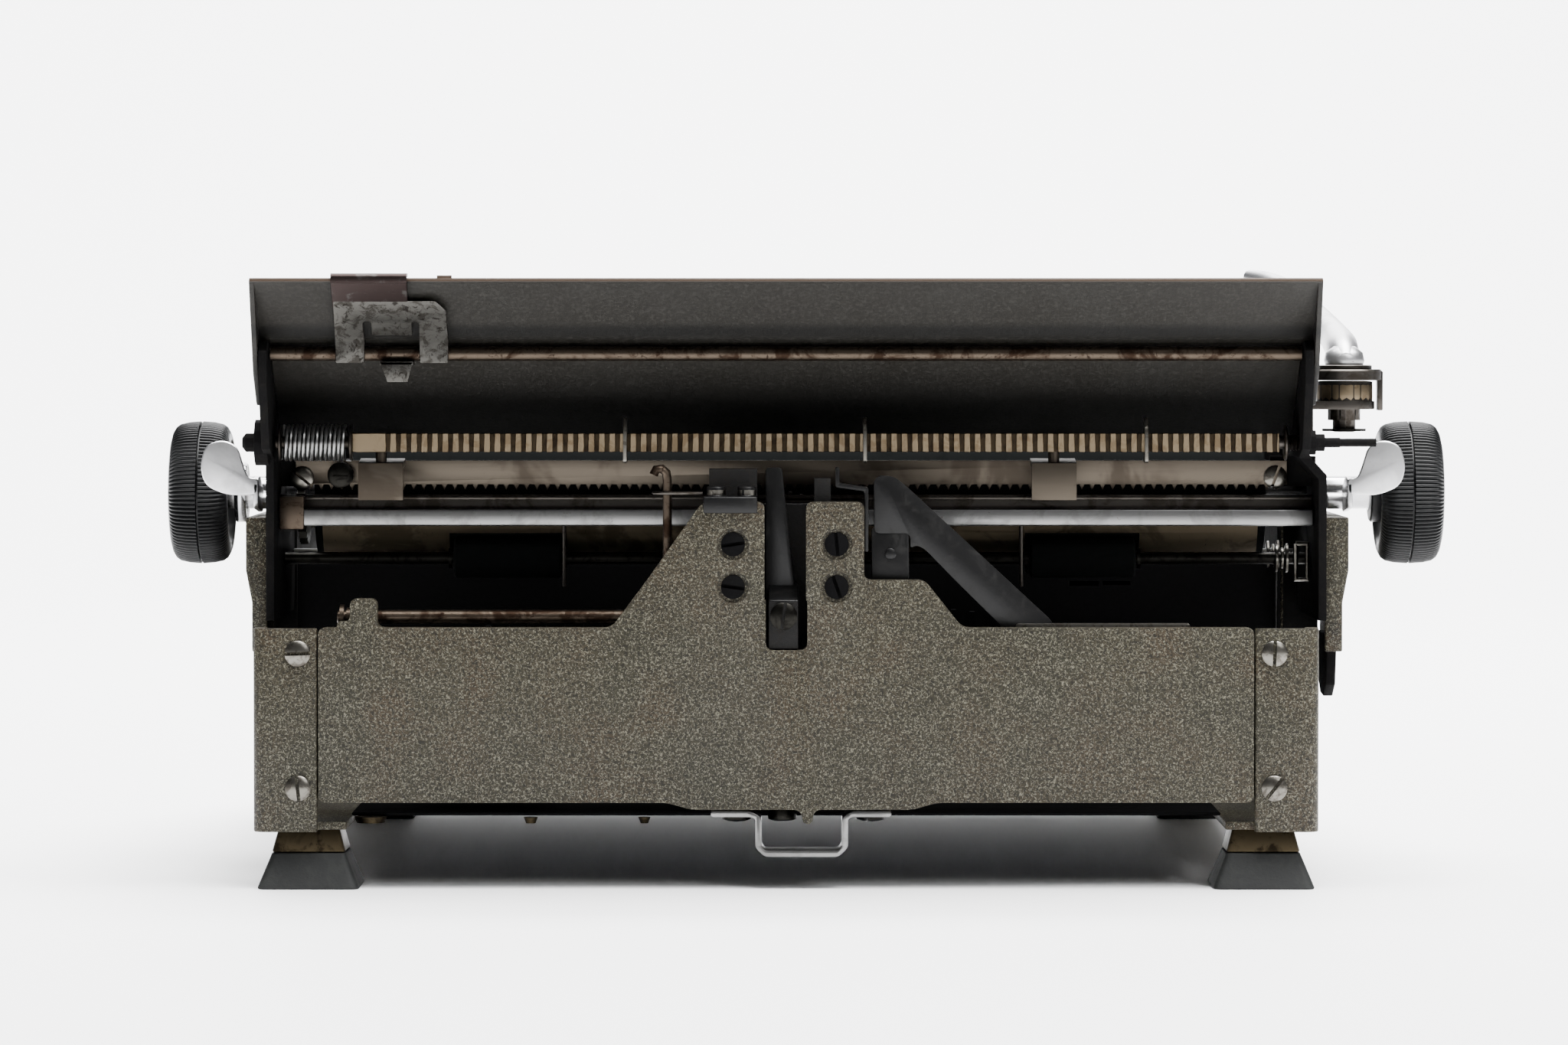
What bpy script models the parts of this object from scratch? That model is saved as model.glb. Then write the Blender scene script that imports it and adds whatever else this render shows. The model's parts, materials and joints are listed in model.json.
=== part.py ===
"""Portable typewriter, built as separate named pieces.

Metres, +Z up. +X is the typist's left, +Y runs from the rear casting towards the keyboard, z = 0 is the table top.
The places below are in the machine's own frame: x = 0 is the body's middle, y = 0 the rear casting's outer face.
The empty called typewriter then shifts them all, so that the origin is the bottom centre of the whole machine's box.
"""

import math

import bmesh
import bpy
from mathutils import Matrix, Vector

CLEARANCE = 0.0003
ROUND_SIDES = 24
SMALL_SIDES = 12
SMOOTH_ANGLE = math.radians(35)

# Feet
FOOT_HEIGHT = 0.0086
FOOT_TOP_HALF = 0.0091
FOOT_BOTTOM_HALF = 0.01225
CUP_HEIGHT = 0.0047
CUP_TOP_HALF = 0.0075
CUP_BOTTOM_HALF = 0.00885
FOOT_INSET = 0.0132
FOOT_REAR_Y = 0.0125

# Body
BODY_HALF = 0.1285
BODY_DEPTH = 0.289
FOOT_SPACING_Y = BODY_DEPTH - 0.064
PANEL_WALL = 0.003
PANEL_SLIP = 0.0002
PANEL_BOTTOM = FOOT_HEIGHT + CUP_HEIGHT + 2 * CLEARANCE
PANEL_INNER = BODY_HALF - PANEL_WALL
PANEL_DIP = 0.042
PANEL_TOP = 0.100
CORNER_WIDTH = 0.0155
CORNER_WALL = 0.0025
CORNER_TOP = 0.063
FLOOR_LEDGE_WIDTH = 0.0225
FLOOR_LEDGE_WALL = 0.002
HOOD_BAY_START = 0.092
PAN_WALL = 0.0012
PAN_START = 0.095
APRON_WALL = 0.002
APRON_TOP = 0.033

# Rear casting
CASTING_WALL = 0.005
CASTING_HALF = BODY_HALF - CORNER_WIDTH - CLEARANCE
CASTING_BOTTOM = 0.021
CASTING_TOP = 0.0632
BULGE_DROP = 0.0017
NUB_DROP = 0.0051
TOWER_LEFT_EDGE = -0.0203
TOWER_RIGHT_EDGE = 0.0188
TOWER_TOP = 0.0935
SHOULDER_TOP = 0.0747
SLOT_HALF = 0.0050
SLOT_NARROW_HALF = 0.0047
SLOT_CENTRE = -0.0002
SLOT_STEP = 0.0698
SLOT_FLOOR = 0.0578
CORNER_TAB_REACH = 0.0095

# Screws
CORNER_SCREW_RADIUS = 0.0031
CORNER_SCREW_X = BODY_HALF - 0.0109
CORNER_SCREW_Z = (0.0245, 0.0570)
TOWER_SCREW_RADIUS = 0.0030
TOWER_SCREW_X = (-0.0128, 0.0122)
TOWER_SCREW_Z = (0.0730, 0.0833)
SCREW_HEAD = 0.0014
SCREW_SEAT = 0.0005
CAP_SCREW_RADIUS = 0.0023
CAP_SCREW_X = (-0.0168, -0.0094)
CAP_SCREW_HEIGHT = 0.0024
LATCH_SCREW_RADIUS = 0.0035
LATCH_SCREW_X = (-0.0120, 0.0205)
LEAF_SCREW_RADIUS = 0.0032
LEAF_SCREW_X = -0.0006
LEAF_SCREW_Z = 0.0660

# Case latch loop
LATCH_STRIP = 0.0016
LATCH_WIDTH = 0.012
LATCH_START_Y = 0.001
LATCH_INNER = (-0.0059, 0.0134)
LATCH_ENDS = (-0.0182, 0.0254)
LATCH_DROP = 0.0112
LATCH_TOP = CASTING_BOTTOM - BULGE_DROP - CLEARANCE

# Bearing block behind the towers, with the groove that the carriage rail slides in
BLOCK_HALF = 0.0186
BLOCK_ARM_INNER = 0.0066
BLOCK_FRONT_Y = 0.0405
BLOCK_BODY_Y = 0.017
BLOCK_BOTTOM = 0.060
BLOCK_ARM_TOP = 0.0922

# Carriage rail
RAIL_Y = (0.032, 0.037)
RAIL_Z = (0.0866, 0.0908)
WEB_Y = (0.0370, 0.0395)
WEB_TOP = 0.0947
KEEPER_WALL = 0.0014

# Carriage ends
PLATE_INNER = BODY_HALF - 0.0035
PLATE_WALL = 0.0020
JOG_INNER = PLATE_INNER + 0.0050
PLATE_BOTTOM = 0.064
COVER_WALL = 0.0008
COVER_Y = (0.030, 0.086)
COVER_Z = (0.056, 0.089)
COVER_JOG = 0.0015
RIGHT_COVER_OUTER = PLATE_INNER + 0.0076
LEFT_COVER_OUTER = JOG_INNER + 0.0081

# Platen and knobs
PLATEN_Y = 0.062
PLATEN_Z = 0.0944
PLATEN_RADIUS = 0.016
PLATEN_ENDS = (0.008 - PLATE_INNER, PLATE_INNER - 0.006)
SHAFT_RADIUS = 0.0041
SHAFT_RUNNING = 0.0004
RATCHET_RADIUS = 0.013
KNOB_RADIUS = 0.0178
KNOB_HOLLOW_RADIUS = 0.013
KNOB_HOLLOW_DEPTH = 0.003
RIGHT_KNOB = (PLATE_INNER + 0.0136, PLATE_INNER + 0.0286)
LEFT_KNOB = (PLATE_INNER + 0.0228, PLATE_INNER + 0.0387)
COLLAR_RADIUS = 0.0075
HUB_RADIUS = 0.0058

# Paper path
PAN_RADIUS = 0.0167
PAN_SHEET = 0.0008
PAN_ENDS = (0.010 - PLATE_INNER, PLATE_INNER - 0.008)
FEED_DROP = 0.016
FEED_SPREAD = 0.014
FEED_RADIUS = 0.005
FEED_SHAFT_RADIUS = 0.0015
FEED_ROLLERS = ((-0.0824, -0.0557), (0.0605, 0.0866))

# Paper table, margin rod and margin stop
TABLE_SHEET = 0.001
TABLE_EDGE_Y = -0.008
TABLE_EDGE_Z = 0.1485
TABLE_CREASE_Y = 0.008
TABLE_CREASE_Z = TABLE_EDGE_Z - 0.0159
TABLE_END_Y = 0.044
TABLE_END_Z = TABLE_CREASE_Z - 0.0266
TABLE_FLANGE = 0.0012
MARGIN_ROD_Y = 0.008
MARGIN_ROD_Z = TABLE_CREASE_Z - 0.0034
MARGIN_ROD_RADIUS = 0.00175
STOP_SHEET = 0.0012
STOP_X = (0.0162 - PLATE_INNER, 0.0435 - PLATE_INNER)
STOP_BOTTOM = MARGIN_ROD_Z - 0.0023
STOP_LIFT = 0.0014

# Tab rack
RACK_AXIS_Y = 0.020
RACK_AXIS_Z = 0.1075
RACK_HALF_HEIGHT = 0.0023
RACK_HALF_DEPTH = 0.0020
RACK_PITCH = 0.00254
TOOTH_DEPTH = 0.0012
TOOTH_SHARE = 0.55
RACK_BLOCK = (0.0194 - PLATE_INNER, 0.0276 - PLATE_INNER)
RACK_TEETH = (RACK_BLOCK[1], PLATE_INNER - 0.0049)
RACK_SHAFT_RADIUS = 0.0016
TAB_STOP_X = (-0.0392, 0.0192, 0.0877)
TAB_STOP_WIDTH = 0.00093
TAB_STOP_Z = (0.1026, 0.1137)
SPRING_WIRE_RADIUS = 0.0003
SPRING_RADIUS = 0.0042
SPRING_ENDS = (0.0021 - PLATE_INNER, 0.0190 - PLATE_INNER)
SPRING_TURNS = 14
SPRING_POINTS_PER_TURN = 9

# Escapement
ESCAPE_RACK_Y = (0.0408, 0.0423)
ESCAPE_RACK_Z = (0.0968, 0.1028)
ESCAPE_TOOTH = 0.0014
ESCAPE_RACK_ENDS = (0.0038 - PLATE_INNER, PLATE_INNER - 0.0012)
ESCAPE_WHEEL_Z = 0.084
CLIP_X = (0.0255 - PLATE_INNER, PLATE_INNER - 0.0592)
CLIP_WIDTH = 0.0110
CLIP_SHEET = 0.0015
CLIP_Z = (0.0932, 0.1033)
CLIP_Y = (0.0300, 0.0405)

# Return lever
LEVER_X = PLATE_INNER + 0.0123
LEVER_Y = 0.035
LEVER_TIP_Z = 0.1492
BRACKET_Z = (0.1155, 0.1175)
BRACKET_LEG_BOTTOM = 0.103
DRUM_RADIUS = 0.007
LEVER_PLATE_RADIUS = 0.0092
LEVER_DISC_RADIUS = 0.0068

# Release levers
RELEASE_Y = 0.052
RELEASE_Z = 0.0925
RELEASE_SHEET = 0.0013
PADDLE_WALL = 0.0012
PADDLE_Y = 0.038
PADDLE_WIDTH = 0.0132
PADDLE_Z = (0.0943, 0.1079)

# Paper bail
BAIL_PIVOT_Y = 0.066
BAIL_PIVOT_Z = 0.112
BAIL_ROD_Y = 0.0795
BAIL_ROD_Z = 0.107
BAIL_ROD_RADIUS = 0.0015
BAIL_ROLLER_RADIUS = 0.005
BAIL_ROLLERS = (-0.060, 0.060)
BAIL_ROLLER_WIDTH = 0.012

# Type basket and ribbon
BASKET_Y = 0.104
SEGMENT_RADII = (0.042, 0.052)
SEGMENT_Z = (0.056, 0.0617)
TYPEBAR_COUNT = 28
TYPEBAR_FAN = math.radians(130)
TYPEBAR_RADII = (0.044, 0.050)
TYPEBAR_WALL = 0.001
TYPEBAR_TOP = 0.092
SPOOL_X = BODY_HALF - 0.0405
SPOOL_Y = 0.140
SPOOL_RADIUS = 0.022
SPOOL_PACK_RADIUS = 0.017
SPOOL_PLATE_RADIUS = 0.024
SPOOL_PLATE_Z = (0.0610, 0.0630)
RIBBON_Z = (0.068, 0.0805)
RIBBON_WALL = 0.0005

# Ribbon hood
HOOD_HALF = BODY_HALF - 0.0065
HOOD_SHEET = 0.0012
HOOD_REAR_Y = 0.098
HOOD_HINGE_Y = 0.180
HOOD_HINGE_Z = 0.080
HOOD_SKIRT_Z = 0.0845
HOOD_TOP = 0.104
HOOD_PIN_RADIUS = 0.002
HOOD_NOTCH_HALF = 0.018

# Keyboard
FULCRUM_Y = 0.112
FULCRUM_Z = 0.033
FULCRUM_RADIUS = 0.002
KEY_PITCH = (BODY_HALF - 0.0145) / 6
KEY_RADIUS = 0.0073
KEY_TOP_WALL = 0.0028
LEVER_WALL = 0.0014
LEVER_HALF_HEIGHT = 0.003
STEM_HALF = 0.002
LOWER_BANK_Y = BODY_DEPTH - 0.026
LOWER_BANK_Z = 0.042
BANK_RUN = 0.019
BANK_RISE = 0.008
SPACE_BAR_Y = (BODY_DEPTH - 0.012, BODY_DEPTH - 0.003)
SPACE_BAR_Z = (0.032, 0.038)
SPACE_BAR_HALF = 0.055
SPACE_ARM_X = BODY_HALF - 0.0285
SPACE_BAIL_RADIUS = 0.0015
KEY_TIE_DROP = 0.001
KEY_TIE_HEIGHT = 0.0016
SIDE_LEVER_X = BODY_HALF - 0.0075
SIDE_LEVER_STEP = 0.005
SHIFT_KEY_X = SIDE_LEVER_X - 0.0110
TABULATOR_KEY_X = SIDE_LEVER_X - 0.0094
BACKSPACE_KEY_X = SIDE_LEVER_X - 0.0160
SHIFT_BAIL_Y = 0.119
SHIFT_BAIL_Z = 0.026
SHIFT_BAIL_RADIUS = 0.0015

# Mainspring drum
DRUM_X = 0.055 - PLATE_INNER
DRUM_Z = 0.038
MAINSPRING_RADIUS = 0.015
MAINSPRING_Y = (0.020, 0.036)

STOP_REAR_Y = TABLE_EDGE_Y - STOP_LIFT - STOP_SHEET
ORIGIN = Vector(((LEFT_KNOB[1] - RIGHT_KNOB[1]) / 2, (STOP_REAR_Y + BODY_DEPTH) / 2, 0))

# Finishes: colour, roughness, metallic
FINISHES = {
    "hammertone_paint": ((0.105, 0.094, 0.066), 0.45, 0.5),
    "black_steel": ((0.012, 0.012, 0.013), 0.45, 0.6),
    "bright_chrome": ((0.62, 0.62, 0.62), 0.18, 1.0),
    "nickel_screw": ((0.42, 0.40, 0.36), 0.35, 1.0),
    "worn_steel": ((0.23, 0.20, 0.17), 0.45, 0.9),
    "rusty_steel": ((0.13, 0.085, 0.060), 0.55, 0.8),
    "tan_brass": ((0.33, 0.25, 0.15), 0.42, 0.9),
    "rubber": ((0.020, 0.022, 0.021), 0.75, 0.0),
    "bakelite": ((0.010, 0.010, 0.011), 0.35, 0.0),
    "ribbon_cloth": ((0.010, 0.010, 0.012), 0.90, 0.0),
}

# The axes that an outline or a profile is drawn in, as columns of a rotation
PLANES = {
    "X": Matrix(((0, 0, 1), (1, 0, 0), (0, 1, 0))).to_4x4(),
    "Y": Matrix(((1, 0, 0), (0, 0, -1), (0, 1, 0))).to_4x4(),
    "Z": Matrix.Identity(4),
}


def clear_scene():
    """Empties the scene and makes the two collections."""
    for obj in list(bpy.data.objects):
        bpy.data.objects.remove(obj)
    for name in ("portable_typewriter", "cutters"):
        bpy.context.scene.collection.children.link(bpy.data.collections.new(name))


def material(name):
    """The finish as a Principled material, made once."""
    if name in bpy.data.materials:
        return bpy.data.materials[name]
    made = bpy.data.materials.new(name)
    made.use_nodes = True
    colour, roughness, metallic = FINISHES[name]
    shader = made.node_tree.nodes["Principled BSDF"]
    shader.inputs["Base Color"].default_value = (*colour, 1)
    shader.inputs["Roughness"].default_value = roughness
    shader.inputs["Metallic"].default_value = metallic
    return made


def curve_mesh(curve):
    """A closed mesh of the curve, with its caps welded on."""
    holder = bpy.data.objects.new("outline", curve)
    bpy.context.scene.collection.objects.link(holder)
    graph = bpy.context.evaluated_depsgraph_get()
    mesh = bpy.data.meshes.new_from_object(holder.evaluated_get(graph))
    bpy.data.objects.remove(holder)
    return mesh


def arc(centre, radius, start, end, steps):
    """Points along an arc in degrees."""
    turns = [math.radians(start + (end - start) * i / steps) for i in range(steps + 1)]
    return [(centre[0] + radius * math.cos(t), centre[1] + radius * math.sin(t)) for t in turns]


def circle(centre, radius, sides=SMALL_SIDES):
    """A closed ring of points."""
    return arc(centre, radius, 0, 360, sides)[:-1]


class Shape:
    """Closed solids in the machine's frame, put together with Blender's mesh operators."""

    def __init__(self):
        self.bm = bmesh.new()

    def block(self, x, y, z):
        """A box between two values on each axis."""
        size = [max(pair) - min(pair) for pair in (x, y, z)]
        place = Matrix.Translation([sum(pair) / 2 for pair in (x, y, z)])
        bmesh.ops.create_cube(self.bm, size=1, matrix=place @ Matrix.Diagonal((*size, 1)))
        return self

    def frustum(self, centre, z, bottom_half, top_half):
        """A square block whose sides taper."""
        place = Matrix.Translation((*centre, sum(z) / 2)) @ Matrix.Rotation(math.pi / 4, 4, "Z")
        bmesh.ops.create_cone(
            self.bm, cap_ends=True, segments=4, depth=z[1] - z[0], matrix=place,
            radius1=bottom_half * math.sqrt(2), radius2=top_half * math.sqrt(2),
        )
        return self

    def cylinder(self, axis, centre, ends, radius, sides=SMALL_SIDES):
        """A round bar along an axis: centre holds the two other coordinates in X, Y, Z order."""
        return self.lathe(axis, centre, [(ends[0], radius), (ends[1], radius)], sides)

    def lathe(self, axis, centre, profile, sides=ROUND_SIDES):
        """A turned piece: profile holds (place along the axis, radius) and is closed onto the axis."""
        points = [(profile[0][0], 0), *profile, (profile[-1][0], 0)]
        turned = bmesh.new()
        verts = [turned.verts.new((radius, 0, along)) for along, radius in points]
        edges = [turned.edges.new(pair) for pair in zip(verts, verts[1:])]
        bmesh.ops.spin(
            turned, geom=verts + edges, cent=(0, 0, 0), axis=(0, 0, 1), angle=math.tau, steps=sides, use_merge=True
        )
        bmesh.ops.remove_doubles(turned, verts=turned.verts, dist=1e-6)
        swing = {"X": Matrix.Rotation(math.pi / 2, 4, "Y"), "Y": Matrix.Rotation(-math.pi / 2, 4, "X")}
        others = {"X": (0, *centre), "Y": (centre[0], 0, centre[1]), "Z": (*centre, 0)}
        turned.transform(Matrix.Translation(others[axis]) @ swing.get(axis, Matrix.Identity(4)))
        return self.take(turned)

    def plate(self, axis, outlines, ends):
        """A flat outline, with any holes, carried along an axis from one end to the other."""
        half = abs(ends[1] - ends[0]) / 2
        middle = Vector([sum(ends) / 2 if name == axis else 0 for name in "XYZ"])
        place = Matrix.Translation(middle) @ PLANES[axis]
        if len(outlines) == 1:
            made = bmesh.new()
            face = made.faces.new([made.verts.new((u, v, -half)) for u, v in outlines[0]])
            grown = bmesh.ops.extrude_face_region(made, geom=[face], use_keep_orig=True)
            ends_up = [item for item in grown["geom"] if isinstance(item, bmesh.types.BMVert)]
            bmesh.ops.translate(made, verts=ends_up, vec=(0, 0, 2 * half))
            made.transform(place)
            return self.take(made)
        curve = bpy.data.curves.new("outline", "CURVE")
        curve.dimensions = "2D"
        curve.fill_mode = "BOTH"
        curve.extrude = half
        for outline in outlines:
            spline = curve.splines.new("POLY")
            spline.points.add(len(outline) - 1)
            for point, (u, v) in zip(spline.points, outline):
                point.co = (u, v, 0, 1)
            spline.use_cyclic_u = True
        return self.take_curve(curve, place)

    def tube(self, points, radius, resolution=1, radii=None):
        """A wire or bar along points, with filled ends."""
        curve = bpy.data.curves.new("wire", "CURVE")
        curve.dimensions = "3D"
        curve.bevel_depth = radius
        curve.bevel_resolution = resolution
        curve.use_fill_caps = True
        spline = curve.splines.new("POLY")
        spline.points.add(len(points) - 1)
        for i, point in enumerate(points):
            spline.points[i].co = (*point, 1)
            spline.points[i].radius = radii[i] if radii else 1
        return self.take_curve(curve, Matrix.Identity(4))

    def take_curve(self, curve, place):
        """Adds the curve's mesh at its place, its caps welded."""
        mesh = curve_mesh(curve)
        made = bmesh.new()
        made.from_mesh(mesh)
        bpy.data.meshes.remove(mesh)
        bmesh.ops.remove_doubles(made, verts=made.verts, dist=1e-6)
        made.transform(place)
        return self.take(made)

    def take(self, made):
        """Adds a finished mesh to this shape, its faces turned outwards."""
        bmesh.ops.recalc_face_normals(made, faces=made.faces)
        if made.calc_volume(signed=True) < 0:
            bmesh.ops.reverse_faces(made, faces=made.faces)
        mesh = bpy.data.meshes.new("piece")
        made.to_mesh(mesh)
        made.free()
        self.bm.from_mesh(mesh)
        bpy.data.meshes.remove(mesh)
        return self

    def to_mesh(self, name, pivot):
        """The mesh, measured from the pivot."""
        mesh = bpy.data.meshes.new(name)
        self.bm.transform(Matrix.Translation(-pivot))
        self.bm.to_mesh(mesh)
        self.bm.free()
        mesh.shade_smooth()
        mesh.set_sharp_from_angle(angle=SMOOTH_ANGLE)
        return mesh


class Body:
    """A group of pieces that move together, held by an empty on the joint's axis."""

    def __init__(self, name, pivot=(0, 0, 0), parent=None):
        self.pivot = Vector(pivot)
        self.empty = bpy.data.objects.new(name, None)
        bpy.data.collections["portable_typewriter"].objects.link(self.empty)
        if parent:
            self.empty.parent = parent.empty
            self.empty.location = self.pivot - parent.pivot
        else:
            self.empty.location = self.pivot - ORIGIN

    def hold(self, name, shape, collection):
        """An object of the shape, on this body."""
        obj = bpy.data.objects.new(name, shape.to_mesh(name, self.pivot))
        bpy.data.collections[collection].objects.link(obj)
        obj.parent = self.empty
        return obj

    def add(self, name, shape, finish, unions=(), cuts=(), clips=()):
        """A named piece, clipped to one outline, then joined to others, then cut."""
        obj = self.hold(name, shape, "portable_typewriter")
        obj.data.materials.append(material(finish))
        for operation, helpers in (("INTERSECT", clips), ("UNION", unions), ("DIFFERENCE", cuts)):
            for helper in helpers:
                tool = self.hold(name + "_helper", helper, "cutters")
                tool.hide_render = True
                tool.display_type = "WIRE"
                boolean = obj.modifiers.new(operation.lower(), "BOOLEAN")
                boolean.operation = operation
                boolean.object = tool
        return obj


def mirrored(outline):
    """The outline with its first coordinate turned round."""
    return [(-u, v) for u, v in outline]


def screw_heads(axis, places, seat, top, radius):
    """Round screw heads, let a little into the face that they stand on."""
    heads = Shape()
    sunk = seat - math.copysign(SCREW_SEAT, top - seat)
    for place in places:
        heads.cylinder(axis, place, sorted((sunk, top)), radius, 16)
    return heads


def rear_casting(body):
    """The rear casting with its two towers, its screws, its corner tabs and the ledge over the latch loop."""
    slot_left = SLOT_CENTRE - SLOT_HALF
    slot_right = SLOT_CENTRE + SLOT_HALF
    narrow_left = SLOT_CENTRE - SLOT_NARROW_HALF
    narrow_right = SLOT_CENTRE + SLOT_NARROW_HALF + 0.0006
    ear = -CASTING_HALF
    bulge = CASTING_BOTTOM - BULGE_DROP
    nub = CASTING_BOTTOM - NUB_DROP
    outline = [
        (-CASTING_HALF, CASTING_BOTTOM), (-0.0287, CASTING_BOTTOM), (-0.0228, bulge), (0.0035, bulge),
        (0.0041, nub), (0.0062, nub), (0.0068, bulge), (0.0304, bulge), (0.0363, CASTING_BOTTOM),
        (CASTING_HALF, CASTING_BOTTOM), (CASTING_HALF, CASTING_TOP), (0.0425, CASTING_TOP),
        (0.0340, SHOULDER_TOP - 0.0008), (0.0325, SHOULDER_TOP), (TOWER_RIGHT_EDGE, SHOULDER_TOP),
        (TOWER_RIGHT_EDGE, TOWER_TOP - 0.0006), (TOWER_RIGHT_EDGE - 0.0006, TOWER_TOP), (slot_right, TOWER_TOP),
        (slot_right, SLOT_STEP), (narrow_right, SLOT_STEP), (narrow_right, SLOT_FLOOR),
        (narrow_left, SLOT_FLOOR), (narrow_left, SLOT_STEP), (slot_left, SLOT_STEP), (slot_left, TOWER_TOP),
        (TOWER_LEFT_EDGE + 0.001, TOWER_TOP), (TOWER_LEFT_EDGE - 0.0006, TOWER_TOP - 0.001),
        (-0.0337, 0.0744), (-0.0415, CASTING_TOP + 0.0008), (-0.0430, CASTING_TOP), (ear + 0.0142, CASTING_TOP),
        (ear + 0.0142, 0.0695), (ear + 0.0134, 0.0702), (ear + 0.0085, 0.0702), (ear + 0.0077, 0.0695),
        (ear + 0.0077, CASTING_TOP + 0.0015), (ear + 0.0046, CASTING_TOP + 0.0015), (ear + 0.0046, CASTING_TOP),
        (ear, CASTING_TOP),
    ]
    ledge = Shape().block((-0.0215, 0.0290), (CASTING_WALL - 0.001, LATCH_START_Y + LATCH_WIDTH + 0.002),
                          (bulge + 0.0004, bulge + 0.0034))
    tabs = [
        Shape().block(
            (side * (CASTING_HALF - 0.004), side * (CASTING_HALF + CORNER_TAB_REACH)),
            (CORNER_WALL + CLEARANCE, CASTING_WALL - 0.0004), (CASTING_BOTTOM + 0.0004, CASTING_TOP - 0.004),
        )
        for side in (-1, 1)
    ]
    screws = screw_heads("Y", [(x, z) for x in TOWER_SCREW_X for z in TOWER_SCREW_Z], 0, -SCREW_HEAD / 2,
                         TOWER_SCREW_RADIUS)
    body.add("rear_casting", Shape().plate("Y", [outline], (0, CASTING_WALL)), "hammertone_paint",
             [ledge, *tabs, screws])


def foot_places(side):
    """The centres of the rear and the front foot on one side."""
    x = side * (BODY_HALF - FOOT_INSET)
    return (x, FOOT_REAR_Y), (x, FOOT_REAR_Y + FOOT_SPACING_Y)


def side_panels(body):
    """The two side panels: a wall with a dip for the carriage, a rear flange, a ledge, foot cups and screws."""
    low = PANEL_BOTTOM + PANEL_SLIP
    wall = [
        (PANEL_SLIP, low), (BODY_DEPTH - 0.005, low), (BODY_DEPTH, low + 0.005),
        (BODY_DEPTH, APRON_TOP + 0.001), (0.202, 0.070), (0.186, 0.084), (0.152, PANEL_TOP), (0.096, PANEL_TOP),
        (HOOD_BAY_START, PANEL_TOP - 0.003), (HOOD_BAY_START, PANEL_DIP + 0.006), (HOOD_BAY_START - 0.006, PANEL_DIP),
        (0.020, PANEL_DIP), (0.016, PANEL_DIP + 0.004), (0.014, CORNER_TOP - PANEL_SLIP),
        (PANEL_SLIP, CORNER_TOP - PANEL_SLIP),
    ]
    for name, side in (("left_side_panel", 1), ("right_side_panel", -1)):
        flange = Shape().block((side * (BODY_HALF - CORNER_WIDTH), side * BODY_HALF), (0, CORNER_WALL),
                               (PANEL_BOTTOM, CORNER_TOP))
        ledge = Shape().block((side * (BODY_HALF - FLOOR_LEDGE_WIDTH), side * (BODY_HALF - PANEL_WALL / 2)),
                              (CORNER_WALL / 2, BODY_DEPTH - 0.008),
                              (low + PANEL_SLIP, low + PANEL_SLIP + FLOOR_LEDGE_WALL))
        cups = Shape()
        for centre in foot_places(side):
            cups.frustum(centre, (FOOT_HEIGHT + CLEARANCE, PANEL_BOTTOM + FLOOR_LEDGE_WALL / 2), CUP_BOTTOM_HALF,
                         CUP_TOP_HALF)
        screws = screw_heads("Y", [(side * CORNER_SCREW_X, z) for z in CORNER_SCREW_Z], 0, -SCREW_HEAD,
                             CORNER_SCREW_RADIUS)
        shape = Shape().plate("X", [wall], sorted((side * PANEL_INNER, side * (BODY_HALF - PANEL_SLIP))))
        body.add(name, shape, "hammertone_paint", [flange, ledge, cups, screws])


def base_and_apron(body):
    """The base pan, which lies on the panels' ledges, and the front apron."""
    inner = PANEL_INNER - CLEARANCE
    pan_bottom = PANEL_BOTTOM + 2 * PANEL_SLIP + FLOOR_LEDGE_WALL + CLEARANCE
    pan_end = BODY_DEPTH - APRON_WALL - CLEARANCE
    body.add("base_pan", Shape().block((-inner, inner), (PAN_START, pan_end), (pan_bottom, pan_bottom + PAN_WALL)),
             "black_steel")
    body.add("front_apron",
             Shape().block((-inner, inner), (BODY_DEPTH - APRON_WALL, BODY_DEPTH), (PANEL_BOTTOM, APRON_TOP)),
             "hammertone_paint")


def feet(body):
    """Four rubber feet, one under each cup."""
    for side_name, side in (("left", 1), ("right", -1)):
        for end_name, centre in zip(("rear", "front"), foot_places(side)):
            foot = Shape().frustum(centre, (0, FOOT_HEIGHT), FOOT_BOTTOM_HALF, FOOT_TOP_HALF)
            body.add(f"{end_name}_{side_name}_foot", foot, "rubber")


def case_latch_loop(body):
    """The bright bent strip under the casting that the carrying case's hook catches."""
    left, right = LATCH_INNER
    low = LATCH_TOP - LATCH_DROP + LATCH_STRIP
    step = LATCH_TOP - LATCH_STRIP
    outline = [
        (LATCH_ENDS[0], LATCH_TOP), (left, LATCH_TOP), (left, low), (right, low), (right, LATCH_TOP),
        (LATCH_ENDS[1], LATCH_TOP), (LATCH_ENDS[1], step), (right + LATCH_STRIP, step),
        (right + LATCH_STRIP, low - LATCH_STRIP), (left - LATCH_STRIP, low - LATCH_STRIP), (left - LATCH_STRIP, step),
        (LATCH_ENDS[0], step),
    ]
    ends = (LATCH_START_Y, LATCH_START_Y + LATCH_WIDTH)
    screws = screw_heads("Z", [(x, sum(ends) / 2) for x in LATCH_SCREW_X], step, step - SCREW_HEAD,
                         LATCH_SCREW_RADIUS)
    body.add("case_latch_loop", Shape().plate("Y", [outline], ends), "nickel_screw", [screws])


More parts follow.
